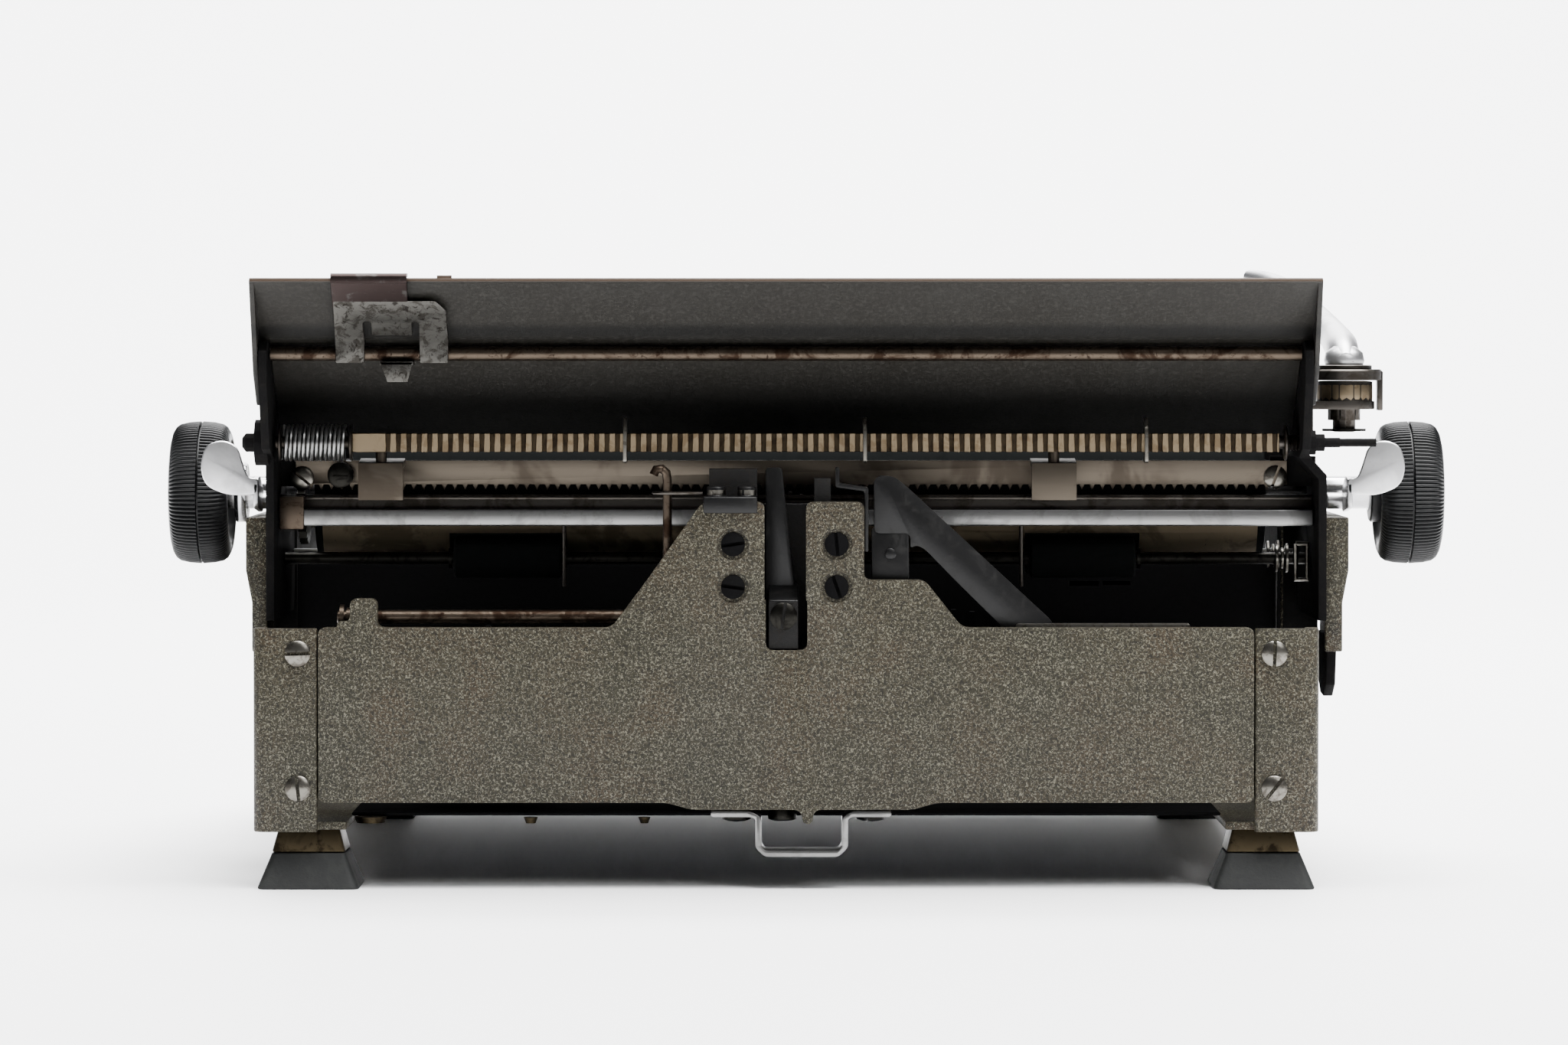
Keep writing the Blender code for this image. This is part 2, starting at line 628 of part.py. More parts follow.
def bearing_block(body):
    """The block behind the towers. Its groove carries the rail, its lip keeps the rail down, and it holds the leaf."""
    shape = Shape().block((-BLOCK_HALF, BLOCK_HALF), (BLOCK_BODY_Y, BLOCK_FRONT_Y),
                          (BLOCK_BOTTOM, RAIL_Z[0] - CLEARANCE))
    arm_y = (CASTING_WALL + CLEARANCE, BLOCK_BODY_Y + 0.001)
    rear_lip = Shape().block((-BLOCK_HALF, BLOCK_HALF), (BLOCK_BODY_Y, RAIL_Y[0] - CLEARANCE),
                             (RAIL_Z[0] - 0.001, RAIL_Z[1] + CLEARANCE + KEEPER_WALL))
    keeper = Shape().block((-BLOCK_HALF, BLOCK_HALF), (RAIL_Y[0] - 0.004, RAIL_Y[1] - CLEARANCE),
                           (RAIL_Z[1] + CLEARANCE, RAIL_Z[1] + CLEARANCE + KEEPER_WALL))
    arms = [
        Shape().block(sorted((side * BLOCK_ARM_INNER, side * BLOCK_HALF)), arm_y, (0.066, BLOCK_ARM_TOP))
        for side in (-1, 1)
    ]
    horn_left = Shape().block((-BLOCK_HALF, -0.007), (0.008, 0.016), (BLOCK_ARM_TOP - 0.001, 0.1013))
    horn_right = Shape().block((0.0068, 0.0108), (arm_y[0], 0.014), (BLOCK_ARM_TOP - 0.001, 0.0991))
    leaf_seat = Shape().block((-0.0042, 0.0029), (0.001, BLOCK_BODY_Y + 0.001), (SLOT_FLOOR + CLEARANCE, 0.0694))
    screw = screw_heads("Y", [(LEAF_SCREW_X, LEAF_SCREW_Z)], 0.001, 0.001 - SCREW_HEAD, LEAF_SCREW_RADIUS)
    body.add("bearing_block", shape, "black_steel",
             [rear_lip, keeper, *arms, horn_left, horn_right, leaf_seat, screw])


def tower_fittings(body):
    """The small bent and flat pieces on and between the towers."""
    cap_bottom = TOWER_TOP + CLEARANCE
    cap = [(-CLEARANCE, 0.0908), (-CLEARANCE, cap_bottom), (0.0075, cap_bottom), (0.0075, cap_bottom + 0.001),
           (-CLEARANCE - 0.001, cap_bottom + 0.001), (-CLEARANCE - 0.001, 0.0908)]
    screws = screw_heads("Z", [(x, 0.004) for x in CAP_SCREW_X], cap_bottom + 0.001,
                         cap_bottom + 0.001 + CAP_SCREW_HEIGHT, CAP_SCREW_RADIUS)
    body.add("tower_cap_plate", Shape().plate("X", [cap], (-0.0199, -0.0069)), "black_steel", [screws])
    leaf = [(-0.0050, 0.0697), (0.0024, 0.0697), (0.0020, 0.0739), (-0.0009, 0.1010), (-0.0016, 0.1016),
            (-0.0046, 0.1016), (-0.0050, 0.1010)]
    body.add("slot_leaf", Shape().plate("Y", [leaf], (0.011, 0.0122)), "black_steel")
    rod_x = -0.0287
    rod_y = CASTING_WALL + CLEARANCE + 0.0012
    hook = [(rod_x, rod_y, 0.069), (rod_x, rod_y, 0.0995), (rod_x - 0.0004, rod_y, 0.1010),
            (rod_x - 0.0018, rod_y, 0.1020), (rod_x - 0.0034, rod_y, 0.1014)]
    body.add("hook_rod", Shape().tube(hook, 0.0011, 2), "rusty_steel")
    loop = [(x, y, 0.0955) for x, y in arc((rod_x, rod_y), 0.0021, 60, 300, 8)]
    legs = [(-0.0203, rod_y + 0.0018, 0.0958), *loop, (-0.0203, rod_y - 0.0018, 0.0958)]
    body.add("hairpin_spring", Shape().tube(legs, 0.0004, 1), "worn_steel")
    strip_left = BLOCK_HALF + CLEARANCE
    strip = [(strip_left, 0.0813), (strip_left + 0.001, 0.0813), (strip_left + 0.001, 0.0969), (0.0129, 0.0979),
             (0.0129, 0.1017), (0.0119, 0.1017), (0.0119, 0.0969), (strip_left, 0.0959)]
    body.add("keeper_strip", Shape().plate("Y", [strip], (0.0055, 0.0125)), "black_steel")
    guide = [(0.0212, 0.0858), (0.0212, 0.0986), (0.0225, 0.0998), (0.0260, 0.0996), (0.0293, 0.0970),
             (0.0645, 0.0644), (0.0645, 0.0570), (0.0585, 0.0570), (0.0402, 0.0751), (0.0335, 0.0820),
             (0.0315, 0.0829), (0.0300, 0.0822), (0.0300, 0.0858)]
    small = [(0.0206, 0.0744), (0.0297, 0.0744), (0.0297, 0.0860), (0.0280, 0.0872), (0.0206, 0.0872)]
    guide_y = CASTING_WALL + CLEARANCE
    bracket = Shape().plate("Y", [small], (guide_y + 0.0004, guide_y + 0.0019))
    body.add("guide_plate", Shape().plate("Y", [guide], (guide_y, guide_y + 0.0015)), "black_steel", [bracket])
    tie_y = CASTING_WALL + CLEARANCE + 0.0017
    tie = [(-0.1090, 0.0010), (-0.1088, 0.0017), (-0.1084, 0.0017), (-0.1084, 0.0030), (-0.1077, 0.0030),
           (-0.1077, 0.0017), (-BLOCK_HALF - CLEARANCE, 0.0017)]
    body.add("tie_rod", Shape().lathe("X", (tie_y + 0.0014, 0.0655), tie, SMALL_SIDES), "rusty_steel")


def escapement(body):
    """The escapement wheel in front of the bearing block, under the rack's teeth."""
    radius = ESCAPE_RACK_Z[0] - ESCAPE_TOOTH - CLEARANCE - ESCAPE_WHEEL_Z
    root = radius - ESCAPE_TOOTH
    teeth = round(math.tau * root / RACK_PITCH)
    outline = []
    for tooth in range(teeth):
        for share, reach in ((0.0, root), (0.25, root), (0.45, radius), (0.75, radius)):
            turn = math.tau * (tooth + share) / teeth
            outline.append((reach * math.cos(turn), ESCAPE_WHEEL_Z + reach * math.sin(turn)))
    thick = (BLOCK_FRONT_Y + CLEARANCE, BLOCK_FRONT_Y + CLEARANCE + 0.0015)
    body.add("escapement_wheel", Shape().plate("Y", [outline], thick), "worn_steel")


def mainspring(body):
    """The drum that pulls the carriage along."""
    profile = [(CASTING_WALL + CLEARANCE, 0.003), (MAINSPRING_Y[0], 0.003), (MAINSPRING_Y[0], MAINSPRING_RADIUS),
               (MAINSPRING_Y[0] + 0.001, MAINSPRING_RADIUS), (MAINSPRING_Y[0] + 0.001, MAINSPRING_RADIUS - 0.001),
               (MAINSPRING_Y[1] - 0.001, MAINSPRING_RADIUS - 0.001), (MAINSPRING_Y[1] - 0.001, MAINSPRING_RADIUS),
               (MAINSPRING_Y[1], MAINSPRING_RADIUS)]
    body.add("mainspring_drum", Shape().lathe("Y", (DRUM_X, DRUM_Z), profile), "worn_steel")


def type_basket(body):
    """The type segment on its cross bar, with the typebars that stand in it and the two spool plates."""
    ring = arc((0, BASKET_Y), SEGMENT_RADII[1], 0, 180, 16) + arc((0, BASKET_Y), SEGMENT_RADII[0], 180, 0, 16)
    bar_y = BASKET_Y + SEGMENT_RADII[1]
    inner = PANEL_INNER - CLEARANCE
    bar = Shape().block((-inner, inner), (bar_y - 0.003, bar_y + 0.005), SEGMENT_Z)
    plates = Shape()
    for side in (-1, 1):
        plates.lathe("Z", (side * SPOOL_X, SPOOL_Y), [(SPOOL_PLATE_Z[0], SPOOL_PLATE_RADIUS),
                                                      (SPOOL_PLATE_Z[1], SPOOL_PLATE_RADIUS)])
    bars = Shape()
    inner_radius, outer_radius = TYPEBAR_RADII
    for i in range(TYPEBAR_COUNT):
        turn = math.pi / 2 + TYPEBAR_FAN * (i / (TYPEBAR_COUNT - 1) - 0.5)
        one = Shape().block((inner_radius, outer_radius), (-TYPEBAR_WALL / 2, TYPEBAR_WALL / 2),
                            (SEGMENT_Z[1] - 0.001, TYPEBAR_TOP))
        one.bm.transform(Matrix.Translation((0, BASKET_Y, 0)) @ Matrix.Rotation(turn, 4, "Z"))
        bars.take(one.bm)
    body.add("type_basket", Shape().plate("Z", [ring], SEGMENT_Z), "worn_steel", [bar, plates, bars])


def ribbon_gear(body, spools):
    """The ribbon and its two spools."""
    seat = SPOOL_PLATE_Z[1] + CLEARANCE
    profile = [(seat, 0.005), (0.0663, 0.005), (0.0663, SPOOL_RADIUS), (0.0673, SPOOL_RADIUS),
               (0.0673, SPOOL_PACK_RADIUS), (0.0812, SPOOL_PACK_RADIUS), (0.0812, SPOOL_RADIUS),
               (0.0822, SPOOL_RADIUS), (0.0822, 0.004), (0.0850, 0.004)]
    for (name, side), spool in zip((("left_ribbon_spool", 1), ("right_ribbon_spool", -1)), spools):
        spool.add(name, Shape().lathe("Z", (side * SPOOL_X, SPOOL_Y), profile), "ribbon_cloth")
    rear = SPOOL_Y - SPOOL_PACK_RADIUS - CLEARANCE
    front = [(-SPOOL_X, rear), (-0.014, HOOD_REAR_Y - 0.0022), (0.014, HOOD_REAR_Y - 0.0022), (SPOOL_X, rear)]
    back = [(x, y - RIBBON_WALL) for x, y in reversed(front)]
    body.add("ribbon", Shape().plate("Z", [front + back], RIBBON_Z), "ribbon_cloth")


def ribbon_hood(body):
    """The hinged cover over the spools, an open shell on two pins."""
    def section(inset):
        return [(HOOD_REAR_Y + inset, HOOD_SKIRT_Z), (HOOD_REAR_Y + inset, HOOD_TOP - 0.006),
                (HOOD_REAR_Y + 0.003 + inset, HOOD_TOP - 0.0015 - inset / 2), (0.108, HOOD_TOP - inset),
                (0.146, HOOD_TOP - 0.002 - inset), (0.170, HOOD_TOP - 0.014 - inset),
                (HOOD_HINGE_Y + 0.0035 - inset, HOOD_HINGE_Z + 0.003 - inset / 2),
                (HOOD_HINGE_Y + 0.0035 - inset, HOOD_HINGE_Z - 0.003)]
    hollow_ends = (-HOOD_HALF + HOOD_SHEET, HOOD_HALF - HOOD_SHEET)
    outer = section(0) + [(HOOD_HINGE_Y - 0.006, HOOD_HINGE_Z - 0.003), (HOOD_HINGE_Y - 0.010, HOOD_SKIRT_Z)]
    below = HOOD_HINGE_Z - 0.004
    inner = section(HOOD_SHEET)
    inner = [(inner[0][0], below), *inner[1:-1], (inner[-1][0], below)]
    hollow = Shape().plate("X", [inner], hollow_ends)
    notch = Shape().block((-HOOD_NOTCH_HALF, HOOD_NOTCH_HALF), (HOOD_REAR_Y - 0.002, 0.116), (0.070, 0.120))
    pins = [
        Shape().cylinder("X", (HOOD_HINGE_Y, HOOD_HINGE_Z),
                         sorted((side * (HOOD_HALF - 0.0006), side * (PANEL_INNER - CLEARANCE))), HOOD_PIN_RADIUS)
        for side in (-1, 1)
    ]
    body.add("ribbon_hood", Shape().plate("X", [outer], (-HOOD_HALF, HOOD_HALF)), "hammertone_paint", pins,
             [hollow, notch])


def key_lever(shape, x, key_y, stem_top):
    """A flat lever from the fulcrum rod, with the stem that carries a key."""
    start = FULCRUM_Y + FULCRUM_RADIUS + CLEARANCE
    low, high = FULCRUM_Z - LEVER_HALF_HEIGHT, FULCRUM_Z + LEVER_HALF_HEIGHT
    outline = [(start, low), (key_y + STEM_HALF, low), (key_y + STEM_HALF, stem_top), (key_y - STEM_HALF, stem_top),
               (key_y - STEM_HALF, high), (start, high)]
    shape.plate("X", [outline], (x - LEVER_WALL / 2, x + LEVER_WALL / 2))


def keyboard(body, banks, others):
    """The fulcrum rod, four banks of round keys, the space bar, and the keys at the sides."""
    inner = PANEL_INNER - CLEARANCE
    body.add("key_fulcrum_rod",
             Shape().cylinder("X", (FULCRUM_Y, FULCRUM_Z), (-inner, inner), FULCRUM_RADIUS), "worn_steel")
    rows = (("lower_keys", -2.5, range(1, 11)), ("home_keys", -0.5, range(11)), ("upper_keys", 0.5, range(11)),
            ("number_keys", 2.5, range(11)))
    for row, (name, quarters, keys) in enumerate(rows):
        y = LOWER_BANK_Y - row * BANK_RUN
        top = LOWER_BANK_Z + row * BANK_RISE
        places = [(key - 5 + quarters / 4) * KEY_PITCH for key in keys]
        levers = Shape()
        tops = Shape()
        for x in places:
            key_lever(levers, x, y, top - KEY_TOP_WALL / 2)
            tops.lathe("Z", (x, y), [(top - KEY_TOP_WALL, KEY_RADIUS), (top - 0.0006, KEY_RADIUS),
                                     (top, KEY_RADIUS - 0.0008)], SMALL_SIDES)
        tie_top = top - KEY_TOP_WALL - KEY_TIE_DROP
        tie = Shape().block((places[0], places[-1]), (y - STEM_HALF / 2, y + STEM_HALF / 2),
                            (tie_top - KEY_TIE_HEIGHT, tie_top))
        banks[row].add(name, tie, "bakelite", [levers, tops])
    bar_y = sum(SPACE_BAR_Y) / 2
    bail = Shape().cylinder("X", (bar_y, FULCRUM_Z), (-SPACE_ARM_X, SPACE_ARM_X), SPACE_BAIL_RADIUS)
    arms = Shape()
    for side in (-1, 1):
        key_lever(arms, side * SPACE_ARM_X, bar_y, FULCRUM_Z + LEVER_HALF_HEIGHT + 0.0005)
    bar = Shape().block((-SPACE_BAR_HALF, SPACE_BAR_HALF), SPACE_BAR_Y, SPACE_BAR_Z)
    others["space_bar"].add("space_bar", bar, "bakelite", [bail, arms])
    side_keys = (("shift_keys", 0, (-1, 1), SIDE_LEVER_X, SHIFT_KEY_X),
                 ("tabulator_key", 1, (1,), SIDE_LEVER_X - SIDE_LEVER_STEP, TABULATOR_KEY_X),
                 ("backspace_key", 3, (-1,), SIDE_LEVER_X - SIDE_LEVER_STEP, BACKSPACE_KEY_X))
    for name, row, sides, lever_x, key_x in side_keys:
        y = LOWER_BANK_Y - row * BANK_RUN
        top = LOWER_BANK_Z + row * BANK_RISE
        levers = Shape()
        tops = Shape()
        for side in sides:
            key_lever(levers, side * lever_x, y, top - KEY_TOP_WALL / 2)
            tops.block(sorted((side * (key_x - KEY_RADIUS), side * (lever_x + LEVER_WALL))),
                       (y - KEY_RADIUS * 0.8, y + KEY_RADIUS * 0.8), (top - KEY_TOP_WALL, top))
        joined = [tops]
        if len(sides) == 2:
            drops = Shape()
            for side in sides:
                drops.block((side * lever_x - LEVER_WALL / 2, side * lever_x + LEVER_WALL / 2),
                            (SHIFT_BAIL_Y - 0.002, SHIFT_BAIL_Y + 0.002), (SHIFT_BAIL_Z - 0.002, FULCRUM_Z))
            rod = Shape().cylinder("X", (SHIFT_BAIL_Y, SHIFT_BAIL_Z), (-lever_x, lever_x), SHIFT_BAIL_RADIUS)
            joined += [drops, rod]
        others[name].add(name, levers, "bakelite", joined)


def end_plates(carriage):
    """The two carriage end plates, with lugs for the escapement rack. The left one is jogged outwards below."""
    outline = [(0.022, PLATE_BOTTOM), (0.084, PLATE_BOTTOM), (0.088, 0.078), (0.088, 0.098), (0.080, 0.110),
               (0.074, 0.116), (0.058, 0.116), (0.048, 0.109), (0.012, TABLE_CREASE_Z - 0.0014),
               (0.0045, TABLE_CREASE_Z - 0.0004), (0.001, TABLE_CREASE_Z - 0.0026), (0.001, TABLE_CREASE_Z - 0.0106), (0.010, 0.106), (0.022, 0.1035)]
    hole = circle((PLATEN_Y, PLATEN_Z), SHAFT_RADIUS + SHAFT_RUNNING, ROUND_SIDES)
    lug_y = (ESCAPE_RACK_Y[1] + CLEARANCE, ESCAPE_RACK_Y[1] + CLEARANCE + 0.0022)
    lug_z = (ESCAPE_RACK_Z[0] - 0.0005, ESCAPE_RACK_Z[1] + 0.001)
    outer = PLATE_INNER + PLATE_WALL
    rack_axis = (RACK_AXIS_Y, RACK_AXIS_Z)
    right_lug = Shape().block((-PLATE_INNER - 0.001, ESCAPE_RACK_ENDS[0] + 0.003), lug_y, lug_z)
    right_nut = Shape().lathe("X", rack_axis, [
        (-outer - 0.0055, 0.0012), (-outer - 0.0046, 0.0023), (-outer - 0.0026, 0.0023), (-outer - 0.0023, 0.0056),
        (0.001 - outer, 0.0056),
    ], SMALL_SIDES)
    right = Shape().plate("X", [outline, hole], (-outer, -PLATE_INNER))
    carriage.add("right_end_plate", right, "black_steel", [right_lug, right_nut])
    jog = [(JOG_INNER, PLATE_BOTTOM - 0.001), (JOG_INNER + PLATE_WALL, PLATE_BOTTOM - 0.001),
           (JOG_INNER + PLATE_WALL, 0.0995), (outer, 0.1050), (outer, 0.140), (PLATE_INNER, 0.140),
           (PLATE_INNER, 0.1040), (JOG_INNER, 0.0985)]
    trim = Shape().plate("X", [outline, hole], (PLATE_INNER - 0.005, JOG_INNER + 0.010))
    left_lug = Shape().block((ESCAPE_RACK_ENDS[1] - 0.004, JOG_INNER + 0.001), lug_y, lug_z)
    left_nut = Shape().lathe("X", rack_axis, [
        (outer - 0.001, 0.0030), (outer + 0.002, 0.0030), (outer + 0.002, 0.0021), (outer + 0.0042, 0.0021),
        (outer + 0.0042, 0.0012), (outer + 0.0080, 0.0012), (outer + 0.0080, 0.0010), (outer + 0.0168, 0.0010),
    ], SMALL_SIDES)
    carriage.add("left_end_plate", Shape().plate("Y", [jog], (0, 0.089)), "black_steel", [left_lug, left_nut],
                 clips=[trim])


def end_covers(carriage):
    """The painted covers over the carriage ends, stepped inwards half way down, and the blade under the left one."""
    for name, side, plate_outer, cover_outer in (
        ("right_end_cover", -1, PLATE_INNER + PLATE_WALL, RIGHT_COVER_OUTER),
        ("left_end_cover", 1, JOG_INNER + PLATE_WALL, LEFT_COVER_OUTER),
    ):
        inside = plate_outer + CLEARANCE

        def section(inset):
            return [(inside - inset, COVER_Z[0] - inset), (inside - inset, COVER_Z[1] - inset),
                    (cover_outer - inset, COVER_Z[1] - inset), (cover_outer - inset, 0.076),
                    (cover_outer - COVER_JOG - inset, 0.068), (cover_outer - COVER_JOG - inset, COVER_Z[0] - inset)]
        turned = mirrored if side < 0 else list
        hollow = Shape().plate("Y", [turned(section(COVER_WALL))], (COVER_Y[0] + COVER_WALL, COVER_Y[1] + 0.001))
        carriage.add(name, Shape().plate("Y", [turned(section(0))], COVER_Y), "hammertone_paint", cuts=[hollow])
    blade = [(0.034, COVER_Z[0] + 0.004), (0.060, COVER_Z[0] + 0.004), (0.060, COVER_Z[0]), (0.058, 0.0485),
             (0.052, 0.0448), (0.044, 0.0443), (0.037, 0.0475), (0.034, COVER_Z[0])]
    blade_x = LEFT_COVER_OUTER - COVER_JOG - COVER_WALL - CLEARANCE
    carriage.add("carriage_blade", Shape().plate("X", [blade], (blade_x - 0.0025, blade_x)), "black_steel")


def rails_and_racks(carriage):
    """The carriage rail, the escapement rack with its two clips, and the margin rod."""
    section = [(RAIL_Y[0], RAIL_Z[0]), (RAIL_Y[1], RAIL_Z[0]), (WEB_Y[1], RAIL_Z[0] + 0.001), (WEB_Y[1], WEB_TOP),
               (WEB_Y[0], WEB_TOP), (WEB_Y[0], RAIL_Z[1]), (RAIL_Y[0], RAIL_Z[1])]
    rail_ends = (-PLATE_INNER + CLEARANCE, JOG_INNER - CLEARANCE)
    carriage.add("carriage_rail", Shape().plate("X", [section], rail_ends), "bright_chrome")
    start, end = ESCAPE_RACK_ENDS
    teeth = int((end - start) / RACK_PITCH)
    low = ESCAPE_RACK_Z[0]
    outline = [(end, low), (end, ESCAPE_RACK_Z[1]), (start, ESCAPE_RACK_Z[1]), (start, low)]
    for tooth in range(teeth):
        x = start + (tooth + 0.25) * RACK_PITCH
        outline += [(x, low), (x + RACK_PITCH / 4, low - ESCAPE_TOOTH), (x + RACK_PITCH / 2, low)]
    carriage.add("escapement_rack", Shape().plate("Y", [outline], ESCAPE_RACK_Y), "worn_steel")
    rear, front = CLIP_Y[0], CLIP_Y[1] - CLEARANCE
    for name, x in zip(("right_rack_clip", "left_rack_clip"), CLIP_X):
        side = [(front, CLIP_Z[1]), (rear, CLIP_Z[1] - 0.001), (rear, CLIP_Z[0]), (rear + CLIP_SHEET, CLIP_Z[0]),
                (rear + CLIP_SHEET, CLIP_Z[1] - CLIP_SHEET - 0.001), (front, CLIP_Z[1] - CLIP_SHEET)]
        peg = Shape().cylinder("Z", (x, rear + 0.003), (CLIP_Z[1] - CLIP_SHEET, CLIP_Z[1] + 0.0022), 0.0014)
        carriage.add(name, Shape().plate("X", [side], (x - CLIP_WIDTH / 2, x + CLIP_WIDTH / 2)), "worn_steel", [peg])
    carriage.add("margin_rod", Shape().cylinder("X", (MARGIN_ROD_Y, MARGIN_ROD_Z),
                                                (-PLATE_INNER + CLEARANCE, PLATE_INNER - CLEARANCE),
                                                MARGIN_ROD_RADIUS), "rusty_steel")


def spring_points():
    """The coil spring's route along the rack shaft, and its least gap to itself."""
    start, end = SPRING_ENDS
    straight = 2 * SPRING_WIRE_RADIUS
    steps = SPRING_TURNS * SPRING_POINTS_PER_TURN
    points = []
    for i in range(steps + 1):
        turn = math.tau * i / SPRING_POINTS_PER_TURN
        along = start + straight + (end - start - 2 * straight) * i / steps
        points.append(Vector((along, RACK_AXIS_Y + SPRING_RADIUS * math.cos(turn),
                              RACK_AXIS_Z + SPRING_RADIUS * math.sin(turn))))
    gaps = [
        (a - b).length - 2 * SPRING_WIRE_RADIUS
        for i, a in enumerate(points)
        for b in points[i + SPRING_POINTS_PER_TURN // 2:]
    ]
    print("coil spring: least gap between turns", round(min(gaps) * 1000, 2), "mm")
    return [points[0] - Vector((straight, 0, 0)), *points, points[-1] + Vector((straight, 0, 0))]


def tab_gear(carriage, tab):
    """The toothed tab rack on its shaft with the tab stops in it, and the coil spring between its collars."""
    rear, front = RACK_AXIS_Y - RACK_HALF_DEPTH, RACK_AXIS_Y + RACK_HALF_DEPTH
    start, end = RACK_TEETH
    outline = [(end, rear), (end, front), (RACK_BLOCK[0], front), (RACK_BLOCK[0], rear)]
    for tooth in range(int((end - start) / RACK_PITCH)):
        x = start + tooth * RACK_PITCH
        gap_end = x + RACK_PITCH * (1 - TOOTH_SHARE)
        outline += [(x, rear), (x, rear + TOOTH_DEPTH), (gap_end, rear + TOOTH_DEPTH), (gap_end, rear)]
    height = (RACK_AXIS_Z - RACK_HALF_HEIGHT, RACK_AXIS_Z + RACK_HALF_HEIGHT)
    axis = (RACK_AXIS_Y, RACK_AXIS_Z)
    shafts = [
        Shape().cylinder("X", axis, (-PLATE_INNER + CLEARANCE, RACK_BLOCK[0] + 0.001), RACK_SHAFT_RADIUS),
        Shape().cylinder("X", axis, (end - 0.001, PLATE_INNER - CLEARANCE), RACK_SHAFT_RADIUS * 0.7),
    ]
    collar_radius = SPRING_RADIUS + SPRING_WIRE_RADIUS
    collars = Shape()
    for ends in ((SPRING_ENDS[0] - CLEARANCE - 0.0006, SPRING_ENDS[0] - CLEARANCE),
                 (SPRING_ENDS[1] + CLEARANCE, RACK_BLOCK[0] + 0.0005)):
        collars.cylinder("X", axis, ends, collar_radius)
    stops = Shape()
    for x in TAB_STOP_X:
        stops.block((x - TAB_STOP_WIDTH / 2, x + TAB_STOP_WIDTH / 2), (rear - 0.0013, rear + TOOTH_DEPTH + 0.0005),
                    TAB_STOP_Z)
    tab.add("tab_rack", Shape().plate("Z", [outline], height), "tan_brass", [*shafts, collars, stops])
    carriage.add("tab_rack_spring", Shape().tube(spring_points(), SPRING_WIRE_RADIUS), "worn_steel")


def table_line(offset, y):
    """Height of the paper table's rear face at y, moved squarely off it by the offset."""
    slope = (TABLE_CREASE_Z - TABLE_EDGE_Z) / (TABLE_CREASE_Y - TABLE_EDGE_Y)
    return TABLE_EDGE_Z + slope * (y - TABLE_EDGE_Y) - offset * math.hypot(1, slope)


def paper_table(carriage, stop):
    """The paper table with its crease and end flanges, and the margin stop that hooks over its edge."""
    upper = [(TABLE_EDGE_Y, TABLE_EDGE_Z), (TABLE_CREASE_Y, TABLE_CREASE_Z), (TABLE_END_Y, TABLE_END_Z)]
    thick = [(y + TABLE_SHEET * 0.7, z + TABLE_SHEET * 0.7) for y, z in reversed(upper)]
    crease_limit = TABLE_CREASE_Y + 0.0005
    sheet = Shape().plate("X", [upper[:2] + thick[1:]], (-BODY_HALF, BODY_HALF))
    lower_half = PLATE_INNER - 2 * CLEARANCE
    lower = Shape().plate("X", [[(TABLE_CREASE_Y - 0.003, table_line(0, TABLE_CREASE_Y - 0.003)), *upper[1:],
                                 *thick[:2], (thick[1][0] - 0.003, thick[1][1] + 0.00298)]],
                          (-lower_half, lower_half))
    flange = [(TABLE_EDGE_Y, TABLE_EDGE_Z), (crease_limit, TABLE_CREASE_Z), (0.024, TABLE_CREASE_Z - 0.0114),
              (0.022, TABLE_CREASE_Z - 0.0151), (0.014, TABLE_CREASE_Z - 0.0161), (0.004, TABLE_CREASE_Z - 0.0086)]
    flanges = [
        Shape().plate("X", [flange], sorted((side * (BODY_HALF - TABLE_FLANGE), side * BODY_HALF)))
        for side in (-1, 1)
    ]
    carriage.add("paper_table", sheet, "hammertone_paint", [lower, *flanges])
    reach = STOP_LIFT + STOP_SHEET
    rear_y = STOP_REAR_Y
    bend_z = MARGIN_ROD_Z + MARGIN_ROD_RADIUS + 0.0012
    plate_y = MARGIN_ROD_Y - MARGIN_ROD_RADIUS - CLEARANCE
    inner_edge_y = rear_y + STOP_SHEET
    hook_low = TABLE_EDGE_Z + TABLE_SHEET * 0.7 + CLEARANCE
    outline = [(plate_y - STOP_SHEET, STOP_BOTTOM), (plate_y, STOP_BOTTOM), (plate_y, bend_z),
               (inner_edge_y, TABLE_EDGE_Z), (inner_edge_y, hook_low), (TABLE_EDGE_Y + reach, hook_low),
               (TABLE_EDGE_Y + reach, hook_low + 0.001), (rear_y, hook_low + 0.001), (rear_y, TABLE_EDGE_Z),
               (plate_y - STOP_SHEET, bend_z)]
    stop.add("margin_stop", Shape().plate("X", [outline], STOP_X), "worn_steel")


